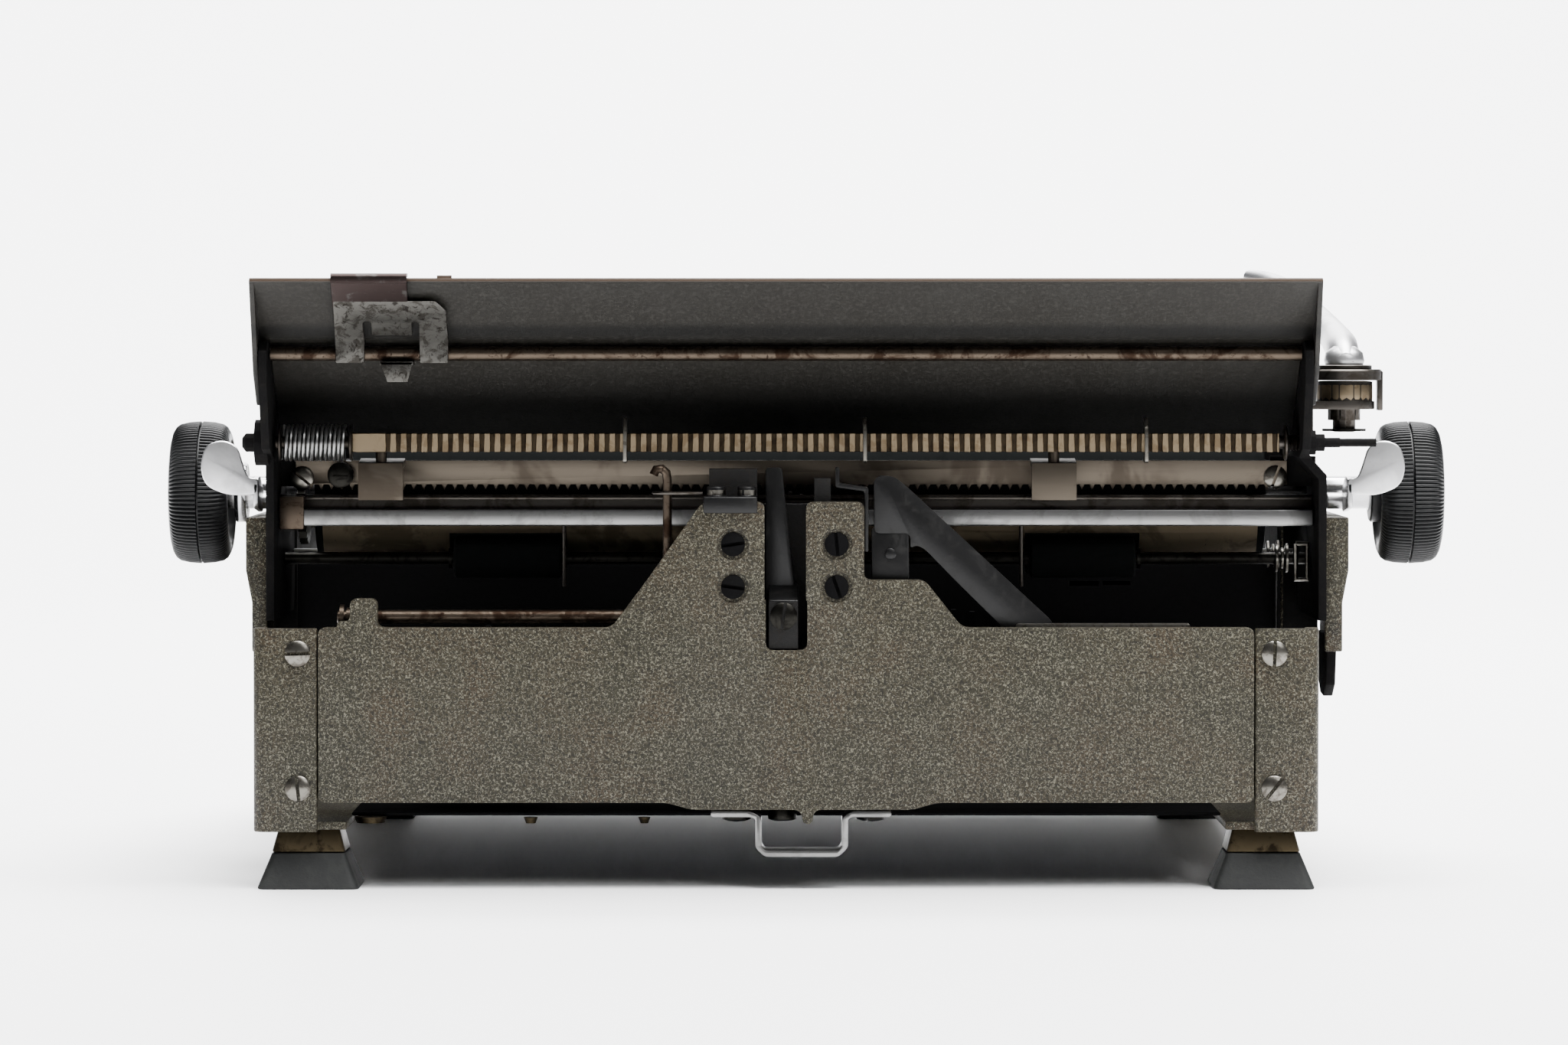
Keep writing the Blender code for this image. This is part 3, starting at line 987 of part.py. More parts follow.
def platen(carriage, roller):
    """The platen, the chrome shaft ends with ratchet, collar and hub, and the two knobs."""
    axis = (PLATEN_Y, PLATEN_Z)
    rings = [circle(axis, PLATEN_RADIUS, 32), circle(axis, SHAFT_RADIUS + CLEARANCE, ROUND_SIDES)]
    roller.add("platen", Shape().plate("X", rings, PLATEN_ENDS), "rubber")
    collar = (0.0009 - RIGHT_KNOB[0], 0.0038 - RIGHT_KNOB[0])
    ratchet = (0.0035 - PLATE_INNER, 0.0055 - PLATE_INNER)
    hub = (LEFT_KNOB[0] - 0.0021, LEFT_KNOB[0] + KNOB_HOLLOW_DEPTH - CLEARANCE)
    shaft = [(-RIGHT_KNOB[0] - KNOB_HOLLOW_DEPTH + CLEARANCE, SHAFT_RADIUS), (collar[0], SHAFT_RADIUS),
             (collar[0], COLLAR_RADIUS), (collar[1], COLLAR_RADIUS), (collar[1], SHAFT_RADIUS),
             (ratchet[0], SHAFT_RADIUS), (ratchet[0], RATCHET_RADIUS), (ratchet[1], RATCHET_RADIUS),
             (ratchet[1], SHAFT_RADIUS), (hub[0], SHAFT_RADIUS), (hub[0], HUB_RADIUS), (hub[1], HUB_RADIUS)]
    roller.add("platen_shaft", Shape().lathe("X", axis, shaft), "bright_chrome")
    for name, side, (inner, outer) in (("right_platen_knob", -1, RIGHT_KNOB), ("left_platen_knob", 1, LEFT_KNOB)):
        profile = [(inner + KNOB_HOLLOW_DEPTH, KNOB_HOLLOW_RADIUS), (inner, KNOB_HOLLOW_RADIUS + 0.001),
                   (inner, KNOB_RADIUS - 0.0022), (inner + 0.0018, KNOB_RADIUS - 0.0004),
                   (inner + 0.0048, KNOB_RADIUS), (outer - 0.0048, KNOB_RADIUS), (outer - 0.0018, KNOB_RADIUS - 0.0006),
                   (outer - 0.0003, KNOB_RADIUS - 0.003), (outer, KNOB_RADIUS - 0.006)]
        roller.add(name, Shape().lathe("X", axis, [(side * along, radius) for along, radius in profile], 32),
                   "bakelite")


def paper_feed(carriage, rear, front):
    """The paper pan under the platen and the feed rollers that press up through its windows."""
    centre = (PLATEN_Y, PLATEN_Z)
    arc_start, arc_end = 186, 336
    outer = PAN_RADIUS + PAN_SHEET
    section = arc(centre, outer, arc_start, arc_end, 16) + arc(centre, PAN_RADIUS, arc_end, arc_start, 16)
    margin = 0.0012
    windows = [
        Shape().block((start - margin, end + margin), (y - FEED_RADIUS - margin, y + FEED_RADIUS + margin),
                      (PLATEN_Z - FEED_DROP - FEED_RADIUS - margin, PLATEN_Z - FEED_DROP + FEED_RADIUS + margin))
        for y in (PLATEN_Y - FEED_SPREAD, PLATEN_Y + FEED_SPREAD)
        for start, end in FEED_ROLLERS
    ]
    carriage.add("paper_pan", Shape().plate("X", [section], PAN_ENDS), "tan_brass", cuts=windows)
    (a, b), (c, d) = FEED_ROLLERS
    for body, name, y in ((rear, "rear_feed_rollers", PLATEN_Y - FEED_SPREAD),
                          (front, "front_feed_rollers", PLATEN_Y + FEED_SPREAD)):
        profile = [(-PLATE_INNER + CLEARANCE, FEED_SHAFT_RADIUS), (a, FEED_SHAFT_RADIUS), (a, FEED_RADIUS),
                   (b, FEED_RADIUS), (b, FEED_SHAFT_RADIUS), (c, FEED_SHAFT_RADIUS), (c, FEED_RADIUS),
                   (d, FEED_RADIUS), (d, FEED_SHAFT_RADIUS), (JOG_INNER - CLEARANCE, FEED_SHAFT_RADIUS)]
        body.add(name, Shape().lathe("X", (y, PLATEN_Z - FEED_DROP), profile, 16), "rubber")


def return_lever(carriage, lever):
    """The return lever on its brass drum, over the angle bracket on the left end plate."""
    centre = (LEVER_X, LEVER_Y)
    leg_x = PLATE_INNER + PLATE_WALL + CLEARANCE
    reach = 0.0075
    shelf = [(leg_x, LEVER_Y - reach), *arc(centre, reach, -90, 90, 12), (leg_x, LEVER_Y + reach)]
    leg = Shape().block((leg_x, leg_x + 0.0018), (LEVER_Y - reach, LEVER_Y + reach),
                        (BRACKET_LEG_BOTTOM + 0.003, BRACKET_Z[1] - 0.0003))
    stack = Shape().lathe("Z", centre, [(0.1100, 0.0028), (0.1128, 0.0028), (0.1128, 0.0040),
                                        (BRACKET_Z[0] + 0.0005, 0.0040)], SMALL_SIDES)
    drum_top = BRACKET_Z[1] + 0.0048
    drum = Shape().lathe("Z", centre, [(BRACKET_Z[1] - 0.0005, DRUM_RADIUS), (drum_top, DRUM_RADIUS)])
    carriage.add("lever_bracket", Shape().plate("Z", [shelf], BRACKET_Z), "tan_brass", [leg, stack, drum])
    plate_z = (drum_top + CLEARANCE, drum_top + CLEARANCE + 0.0028)
    hub = Shape().lathe("Z", centre, [(plate_z[0], LEVER_PLATE_RADIUS), (plate_z[1], LEVER_PLATE_RADIUS),
                                      (plate_z[1], LEVER_DISC_RADIUS), (plate_z[1] + 0.001, LEVER_DISC_RADIUS)])
    finger = Shape().block((LEVER_X + 0.0080, LEVER_X + 0.0095), (LEVER_Y - 0.002, LEVER_Y + 0.002),
                           (plate_z[0] - 0.0075, plate_z[1] - 0.0003))
    arm_z = plate_z[1] + 0.001
    route = [(LEVER_X, LEVER_Y - 0.004, arm_z + 0.0014), (LEVER_X, LEVER_Y, arm_z + 0.0034),
             (LEVER_X, LEVER_Y + 0.012, arm_z + 0.0052), (LEVER_X - 0.0011, 0.062, arm_z + 0.0085),
             (LEVER_X - 0.0043, 0.082, LEVER_TIP_Z - 0.0092), (LEVER_X - 0.0088, 0.100, LEVER_TIP_Z - 0.0037),
             (LEVER_X - 0.0135, 0.113, LEVER_TIP_Z - 0.0005), (LEVER_X - 0.0172, 0.1195, LEVER_TIP_Z)]
    radii = (0.42, 1.0, 0.95, 0.80, 0.72, 0.66, 0.60, 0.40)
    arm = Shape().tube(route, 0.0044, 2, radii)
    lever.add("return_lever", hub, "bright_chrome", [arm, finger])


def release_levers(left, right):
    """The carriage release levers: a plate on a stud outside each end, with a thumb paddle bent off it."""
    for name, lever, side, plate_outer, plate_x in (
        ("left_release_lever", left, 1, JOG_INNER + PLATE_WALL, LEFT_COVER_OUTER + CLEARANCE),
        ("right_release_lever", right, -1, PLATE_INNER + PLATE_WALL, PLATE_INNER + 0.0051),
    ):
        inner, outer = plate_x, plate_x + RELEASE_SHEET
        outline = [(PADDLE_Y - 0.0006, RELEASE_Z - 0.0015), (RELEASE_Y, RELEASE_Z - 0.0028),
                   (RELEASE_Y + 0.0028, RELEASE_Z), (RELEASE_Y, RELEASE_Z + 0.0034), (PADDLE_Y + 0.006, 0.0990),
                   (PADDLE_Y - 0.0006, 0.0985)]
        shape = Shape().plate("X", [outline], sorted((side * inner, side * outer)))
        stud = Shape().cylinder("X", (RELEASE_Y, RELEASE_Z),
                                sorted((side * (plate_outer + CLEARANCE), side * (inner + 0.0005))), 0.0020)
        tip = outer + PADDLE_WIDTH
        paddle = [(inner, 0.0943), (outer + 0.002, 0.0943), (outer + 0.006, 0.0945), (tip - 0.0015, 0.0970),
                  (tip, 0.1010), (tip - 0.001, 0.1055), (tip - 0.004, 0.1077), (tip - 0.007, 0.1077),
                  (tip - 0.0095, 0.1058), (tip - 0.0105, 0.1022), (outer + 0.0012, 0.0985), (inner, 0.0985)]
        turned = mirrored(paddle) if side < 0 else paddle
        tab = Shape().plate("Y", [turned], (PADDLE_Y - 0.0006, PADDLE_Y + 0.0006))
        lever.add(name, shape, "bright_chrome", [stud, tab])


def paper_bail(bail):
    """The paper bail: two arms, the rod and its rollers."""
    shape = Shape().cylinder("X", (BAIL_ROD_Y, BAIL_ROD_Z), (-PLATE_INNER + 0.002, PLATE_INNER - 0.002),
                             BAIL_ROD_RADIUS)
    arms = []
    for side in (-1, 1):
        rise = 0.0028
        outline = [(BAIL_PIVOT_Y - rise, BAIL_PIVOT_Z - rise / 2), (BAIL_ROD_Y, BAIL_ROD_Z - rise),
                   (BAIL_ROD_Y + rise, BAIL_ROD_Z), (BAIL_ROD_Y, BAIL_ROD_Z + rise),
                   (BAIL_PIVOT_Y, BAIL_PIVOT_Z + rise), (BAIL_PIVOT_Y - rise, BAIL_PIVOT_Z + rise / 2)]
        arms.append(Shape().plate("X", [outline], sorted((side * (PLATE_INNER - 0.0025),
                                                          side * (PLATE_INNER - CLEARANCE)))))
    rollers = Shape()
    for x in BAIL_ROLLERS:
        rollers.cylinder("X", (BAIL_ROD_Y, BAIL_ROD_Z), (x - BAIL_ROLLER_WIDTH / 2, x + BAIL_ROLLER_WIDTH / 2),
                         BAIL_ROLLER_RADIUS, 16)
    bail.add("paper_bail", shape, "bright_chrome", [*arms, rollers])


def build_root(machine):
    """Everything that is carried by the body itself."""
    rear_casting(machine)
    side_panels(machine)
    base_and_apron(machine)
    feet(machine)
    case_latch_loop(machine)
    bearing_block(machine)
    tower_fittings(machine)
    type_basket(machine)
    escapement(Body("escapement_wheel_axis", (0, BLOCK_FRONT_Y, ESCAPE_WHEEL_Z), machine))
    mainspring(Body("mainspring_axis", (DRUM_X, MAINSPRING_Y[0], DRUM_Z), machine))
    spools = [
        Body(name, (side * SPOOL_X, SPOOL_Y, SPOOL_PLATE_Z[1]), machine)
        for name, side in (("left_spool_axis", 1), ("right_spool_axis", -1))
    ]
    ribbon_gear(machine, spools)
    ribbon_hood(Body("hood_axis", (0, HOOD_HINGE_Y, HOOD_HINGE_Z), machine))
    fulcrum = (0, FULCRUM_Y, FULCRUM_Z)
    banks = [Body(f"bank_{row}_axis", fulcrum, machine) for row in range(4)]
    names = ("space_bar", "shift_keys", "backspace_key", "tabulator_key")
    keyboard(machine, banks, {name: Body(name + "_axis", fulcrum, machine) for name in names})


def build_carriage(machine):
    """Everything that travels with the carriage."""
    carriage = Body("carriage", (0, 0, 0), machine)
    end_plates(carriage)
    end_covers(carriage)
    rails_and_racks(carriage)
    tab_gear(carriage, Body("tab_axis", (0, RACK_AXIS_Y, RACK_AXIS_Z), carriage))
    paper_table(carriage, Body("margin_stop_slide", (0, MARGIN_ROD_Y, MARGIN_ROD_Z), carriage))
    platen(carriage, Body("platen_axis", (0, PLATEN_Y, PLATEN_Z), carriage))
    feed_z = PLATEN_Z - FEED_DROP
    paper_feed(carriage, Body("rear_feed_axis", (0, PLATEN_Y - FEED_SPREAD, feed_z), carriage),
               Body("front_feed_axis", (0, PLATEN_Y + FEED_SPREAD, feed_z), carriage))
    return_lever(carriage, Body("return_lever_axis", (LEVER_X, LEVER_Y, BRACKET_Z[1]), carriage))
    release_levers(Body("left_release_axis", (0, RELEASE_Y, RELEASE_Z), carriage),
                   Body("right_release_axis", (0, RELEASE_Y, RELEASE_Z), carriage))
    paper_bail(Body("bail_axis", (0, BAIL_PIVOT_Y, BAIL_PIVOT_Z), carriage))


def main():
    """Builds the whole machine."""
    clear_scene()
    machine = Body("typewriter")
    build_root(machine)
    build_carriage(machine)


main()
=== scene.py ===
"""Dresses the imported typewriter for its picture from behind.

Sizes are millimetres in the machine's own frame: x = 0 is the body's middle, y = 0 the rear casting's outer
face and z = 0 the table top. Part.piece turns them into metres in the model's frame.
"""

import json
import logging
import math
from dataclasses import dataclass
from enum import Enum

import bmesh
import bpy
from mathutils import Matrix, Vector

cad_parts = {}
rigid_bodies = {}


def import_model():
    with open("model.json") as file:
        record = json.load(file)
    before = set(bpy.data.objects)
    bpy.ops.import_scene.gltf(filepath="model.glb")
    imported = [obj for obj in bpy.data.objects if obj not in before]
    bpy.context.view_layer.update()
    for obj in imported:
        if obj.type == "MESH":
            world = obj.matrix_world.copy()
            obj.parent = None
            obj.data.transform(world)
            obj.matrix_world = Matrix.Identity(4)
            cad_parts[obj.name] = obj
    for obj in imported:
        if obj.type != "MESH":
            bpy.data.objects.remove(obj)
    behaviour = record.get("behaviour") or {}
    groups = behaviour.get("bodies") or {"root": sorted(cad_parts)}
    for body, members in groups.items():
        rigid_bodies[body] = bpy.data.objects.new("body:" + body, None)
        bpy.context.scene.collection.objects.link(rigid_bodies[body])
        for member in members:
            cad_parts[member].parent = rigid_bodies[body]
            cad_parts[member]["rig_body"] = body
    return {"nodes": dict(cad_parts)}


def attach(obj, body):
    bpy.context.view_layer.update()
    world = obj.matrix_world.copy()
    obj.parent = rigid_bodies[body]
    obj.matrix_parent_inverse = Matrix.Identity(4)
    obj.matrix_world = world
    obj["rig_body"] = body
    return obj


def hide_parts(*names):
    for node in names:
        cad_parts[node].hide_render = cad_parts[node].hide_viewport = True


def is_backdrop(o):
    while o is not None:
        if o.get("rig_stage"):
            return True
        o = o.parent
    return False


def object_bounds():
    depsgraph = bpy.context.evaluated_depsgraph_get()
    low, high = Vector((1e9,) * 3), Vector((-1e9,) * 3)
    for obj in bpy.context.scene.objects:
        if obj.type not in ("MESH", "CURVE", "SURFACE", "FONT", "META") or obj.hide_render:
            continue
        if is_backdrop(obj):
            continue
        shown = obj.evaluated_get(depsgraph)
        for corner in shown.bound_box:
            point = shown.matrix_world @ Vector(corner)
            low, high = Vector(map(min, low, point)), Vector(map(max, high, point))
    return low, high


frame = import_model()
CAD_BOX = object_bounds()

LOG = logging.getLogger("typewriter")
ORIGIN = Vector((5.05, 139.2, 0))  # The model frame's origin in the machine's frame.
MM = 0.001
TURN = math.tau
MERGE = 1e-4  # Points of a mesh that are nearer than this become one.
PLATEN = (62.0, 94.4)  # The platen's axis in y and z.


class Axis(Enum):
    """The direction that an outline is carried along or a profile is turned about."""

    X = Matrix(((0, 0, 1), (1, 0, 0), (0, 1, 0))).to_4x4()
    Y = Matrix(((1, 0, 0), (0, 0, -1), (0, 1, 0))).to_4x4()
    Z = Matrix.Identity(4)

    def place(self, u: float, v: float, along: float = 0) -> Vector:
        """The point whose two other coordinates, in X, Y, Z order, are u and v.

        Args:
            u, v: The two other coordinates, in X, Y, Z order.
            along: The coordinate on the axis.

        Returns:
            The point.
        """
        if self is Axis.X:
            return Vector((along, u, v))
        return Vector((u, along, v) if self is Axis.Y else (u, v, along))

    def facing(self, out: int = 1) -> Matrix:
        """The turn that points +Z along this axis, or against it where out is -1.

        Args:
            out: The end of the axis that it faces, 1 or -1.

        Returns:
            The rotation.
        """
        if self is Axis.Z:
            return Matrix.Rotation(0 if out > 0 else math.pi, 4, "X")
        quarter = out * math.pi / 2
        return Matrix.Rotation(quarter, 4, "Y") if self is Axis.X else Matrix.Rotation(-quarter, 4, "X")


# Finishes


class Wire:
    """A node's output that takes part in arithmetic."""

    def __init__(self, graph: "Graph", socket: bpy.types.NodeSocket) -> None:
        """Keeps the socket and the graph that it belongs to."""
        self.graph = graph
        self.socket = socket

    def maths(self, operation: str, first: "Wire | float", second: "Wire | float" = 0.0) -> "Wire":
        """One Math node on two values."""
        return self.graph.wire("ShaderNodeMath", 0, {0: first, 1: second}, operation=operation)

    def __add__(self, other: "Wire | float") -> "Wire":
        """Sum."""
        return self.maths("ADD", self, other)

    __radd__ = __add__

    def __sub__(self, other: "Wire | float") -> "Wire":
        """Difference."""
        return self.maths("SUBTRACT", self, other)

    def __rsub__(self, other: "Wire | float") -> "Wire":
        """Difference from a number."""
        return self.maths("SUBTRACT", other, self)

    def __mul__(self, other: "Wire | float") -> "Wire":
        """Product."""
        return self.maths("MULTIPLY", self, other)

    __rmul__ = __mul__

    def size(self) -> "Wire":
        """The value without its sign."""
        return self.maths("ABSOLUTE", self)


class Graph:
    """A material's node tree, with the few kinds of node that the finishes are made from."""

    def __init__(self, name: str) -> None:
        """Makes the material with only its shader and output.

        Args:
            name: The material's name.
        """
        self.material = bpy.data.materials.new(name)
        self.material.use_nodes = True
        self.tree = self.material.node_tree
        self.shader = self.tree.nodes["Principled BSDF"]
        self.place = self.wire("ShaderNodeTexCoord", "Object", {})

    def wire(self, kind: str, output: str | int, inputs: dict, **settings: str) -> Wire:
        """Adds a node.

        Args:
            kind: The node's type name.
            output: The name or number of the output that is wanted.
            inputs: Values or wires by the socket's name or number.
            settings: Properties that are set before the sockets.

        Returns:
            The output.
        """
        made = self.tree.nodes.new(kind)
        for key, value in settings.items():
            setattr(made, key, value)
        for key, value in inputs.items():
            self.feed(made.inputs[key], value)
        return Wire(self, made.outputs[output])

    def feed(self, socket: bpy.types.NodeSocket, value: Wire | float | tuple) -> None:
        """Links a wire to the socket or sets its value.

        Args:
            socket: The input.
            value: A wire, a number, a vector or a colour without its alpha.
        """
        if isinstance(value, Wire):
            self.tree.links.new(value.socket, socket)
        else:
            socket.default_value = (*value, 1) if socket.type == "RGBA" else value

    def stretched(self, x: float, z: float = 1.0) -> Wire:
        """Object coordinates scaled along X and Z."""
        return self.wire("ShaderNodeMapping", "Vector", {"Vector": self.place, "Scale": (x, 1, z)})

    def noise(self, size: float, detail: float = 3.0, rough: float = 0.55, warp: float = 0.0,
              vector: Wire | None = None) -> Wire:
        """Soft noise.

        Args:
            size: Width of a feature in millimetres.
            detail: Octaves.
            rough: Weight of the finer octaves.
            warp: Distortion.
            vector: Where it is read, the object's own place if none is given.

        Returns:
            The noise, around 0.5.
        """
        return self.wire("ShaderNodeTexNoise", "Fac", {
            "Vector": vector or self.place, "Scale": 1000 / size, "Detail": detail, "Roughness": rough,
            "Distortion": warp,
        })

    def between(self, value: Wire, low: float, high: float, start: float = 0.0, end: float = 1.0) -> Wire:
        """The value carried from low..high to start..end, smoothly and held at the ends."""
        inputs = {"Value": value, "From Min": low, "From Max": high, "To Min": start, "To Max": end}
        return self.wire("ShaderNodeMapRange", "Result", inputs, interpolation_type="SMOOTHSTEP")

    def blend(self, factor: Wire | float, first: Wire | tuple, second: Wire | tuple) -> Wire:
        """A mix of two colours."""
        return self.wire("ShaderNodeMix", 2, {0: factor, 6: first, 7: second}, data_type="RGBA")

    def height(self, axis: str) -> Wire:
        """One coordinate of the place, in metres."""
        return self.wire("ShaderNodeSeparateXYZ", axis, {0: self.place})

    def bump(self, height: Wire, depth: float, strength: float = 1.0) -> Wire:
        """A normal from a height that is depth millimetres at 1."""
        inputs = {"Strength": strength, "Distance": depth * MM, "Height": height}
        return self.wire("ShaderNodeBump", "Normal", inputs)

    def close(self, colour: Wire | tuple, rough: Wire | float, metal: float = 0.0,
              **sockets: Wire | float) -> bpy.types.Material:
        """Feeds the shader.

        Args:
            colour: Base colour.
            rough: Roughness.
            metal: Metallic.
            sockets: Other shader sockets, underscores for spaces.

        Returns:
            The finished material.
        """
        for name, value in {"Base_Color": colour, "Roughness": rough, "Metallic": metal, **sockets}.items():
            self.feed(self.shader.inputs[name.replace("_", " ")], value)
        return self.material


@dataclass(frozen=True)
class CrinklePaint:
    """Olive grey stoving paint that dries in fine pale crinkles."""

    name: str = "crinkle_paint"
    slot: str = "hammertone_paint"
    dark: tuple = (0.0058, 0.0047, 0.0024)
    middle: tuple = (0.0202, 0.0168, 0.0088)
    brown: tuple = (0.0245, 0.0166, 0.0080)
    green: tuple = (0.0125, 0.0125, 0.0069)
    fleck: tuple = (0.138, 0.130, 0.096)

    def build(self) -> bpy.types.Material:
        """Makes the material.

        Returns:
            The material.
        """
        g = Graph(self.name)
        fine = g.noise(0.68, 1.2, 0.5, 0.7)
        curl = g.between((fine - 0.5).size(), 0.010, 0.060, 1, 0)
        fleck = curl * g.between(g.noise(0.6, 2), 0.40, 0.56)
        warm = g.blend(g.between(g.noise(11, 2), 0.35, 0.7), self.middle, self.brown)
        ground = g.blend(g.between(g.noise(34, 2), 0.35, 0.65) * 0.6, warm, self.green)
        body = g.blend(g.between(g.noise(0.8, 2), 0.35, 0.60), self.dark, ground)
        normal = g.bump(fine + g.noise(0.7, 2) * 0.4, 0.14, 0.8)
        return g.close(g.blend(fleck * 0.8, body, self.fleck), g.between(fleck, 0, 1, 0.56, 0.40),
                       Normal=normal, Specular_IOR_Level=0.22)


@dataclass(frozen=True)
class SheetPaint:
    """The same paint laid smoothly on sheet.

    It is dusty, with painted shade below its bend and along it, and rubbed bare at the top. Heights are in
    metres.
    """

    name: str = "sheet_paint"
    slot: str = "hammertone_paint"
    clean: tuple = (0.0105, 0.0097, 0.0083)
    dull: tuple = (0.0080, 0.0070, 0.0055)
    dusty: tuple = (0.032, 0.0305, 0.0270)
    rusty: tuple = (0.009, 0.0045, 0.003)
    shade: tuple = (0.0016, 0.0016, 0.0015)
    bare: tuple = (0.040, 0.026, 0.017)
    bend: float = 0.1345
    shaded: tuple = (0.114, 0.129)
    rubbed: tuple = (0.1463, 0.1466)

    def build(self) -> bpy.types.Material:
        """Makes the material.

        Returns:
            The material.
        """
        g = Graph(self.name)
        dust = g.between(g.noise(0.9, 3, 0.7), 0.45, 0.75)
        colour = g.blend(g.between(g.noise(30, 3, 0.6, 0.5), 0.3, 0.75), self.clean, self.dull)
        colour = g.blend(dust * 0.5, colour, self.dusty)
        colour = g.blend(g.between(g.noise(3.2, 4, 0.7, 1.0), 0.66, 0.74) * 0.6, colour, self.rusty)
        # Painted shade: the sheet turns to the shade colour below the shaded heights and in a narrow band
        # along the bend.
        height = g.height("Z")
        crease_shade = g.between((height - self.bend).size(), 0.0004, 0.0026, 0.2, 1)
        colour = g.blend(g.between(height, *self.shaded) * crease_shade, self.shade, colour)
        colour = g.blend(g.between(height, *self.rubbed), colour, self.bare)
        return g.close(colour, g.between(dust, 0, 1, 0.5, 0.65), Normal=g.bump(g.noise(0.9, 3), 0.05),
                       Specular_IOR_Level=0.2)


@dataclass(frozen=True)
class PlainMetal:
    """Metal with patches of wear, grain along X, and specks of rust or dirt."""

    name: str
    slot: str
    colour: tuple
    worn: tuple
    rough: float
    spread: float
    patch: float
    specks: float
    speck: tuple
    grain: float = 1.0
    grain_size: float = 1.2
    bump: float = 0.02
    edge: float = 0.55

    def build(self) -> bpy.types.Material:
        """Makes the material.

        Returns:
            The material.
        """
        g = Graph(self.name)
        grain = g.noise(self.grain_size, 4, 0.65, vector=g.stretched(self.grain))
        patches = g.between(g.noise(self.patch, 4, 0.65, 0.6), self.edge - 0.12, self.edge + 0.12)
        mask = g.between(grain * 0.35 + patches * 0.65, 0.2, 0.8)
        dirt = g.between(g.noise(2.4, 5, 0.75, 1.5), 0.74 - self.specks * 0.25, 0.80 - self.specks * 0.2)
        colour = g.blend(dirt * 0.8, g.blend(mask, self.colour, self.worn), self.speck)
        rough = g.between(dirt + mask * 0.4, 0, 1, self.rough, self.rough + self.spread)
        return g.close(colour, rough, 1.0, Normal=g.bump(grain, self.bump))


@dataclass(frozen=True)
class Moulding:
    """Rubber, bakelite or lacquer: dark, with dust in the pores and faint scuffs."""

    name: str
    slot: str
    colour: tuple
    dust: tuple
    rough: float
    amount: float
    size: float
    bump: float
    coat: float = 0.0
    shine: float = 0.3

    def build(self) -> bpy.types.Material:
        """Makes the material.

        Returns:
            The material.
        """
        g = Graph(self.name)
        scuff = g.between(g.noise(self.size, 5, 0.7, 0.8), 0.45, 0.75)
        rough = g.between(scuff, 0, 1, self.rough, min(1.0, self.rough + 0.2))
        return g.close(g.blend(scuff * self.amount, self.colour, self.dust), rough,
                       Normal=g.bump(g.noise(0.7, 3, 0.6), self.bump), Coat_Weight=self.coat,
                       Specular_IOR_Level=self.shine)


@dataclass(frozen=True)
class InkedCloth:
    """Woven ribbon soaked in ink."""

    name: str = "inked_cloth"
    slot: str = "ribbon_cloth"

    def build(self) -> bpy.types.Material:
        """Makes the material.

        Returns:
            The material.
        """
        g = Graph(self.name)
        weave = g.noise(0.35, 2, 0.5, vector=g.stretched(1, 3))
        colour = g.blend(g.between(weave, 0.4, 0.65), (0.006, 0.006, 0.008), (0.022, 0.022, 0.026))
        return g.close(colour, 0.85, Normal=g.bump(weave, 0.06))


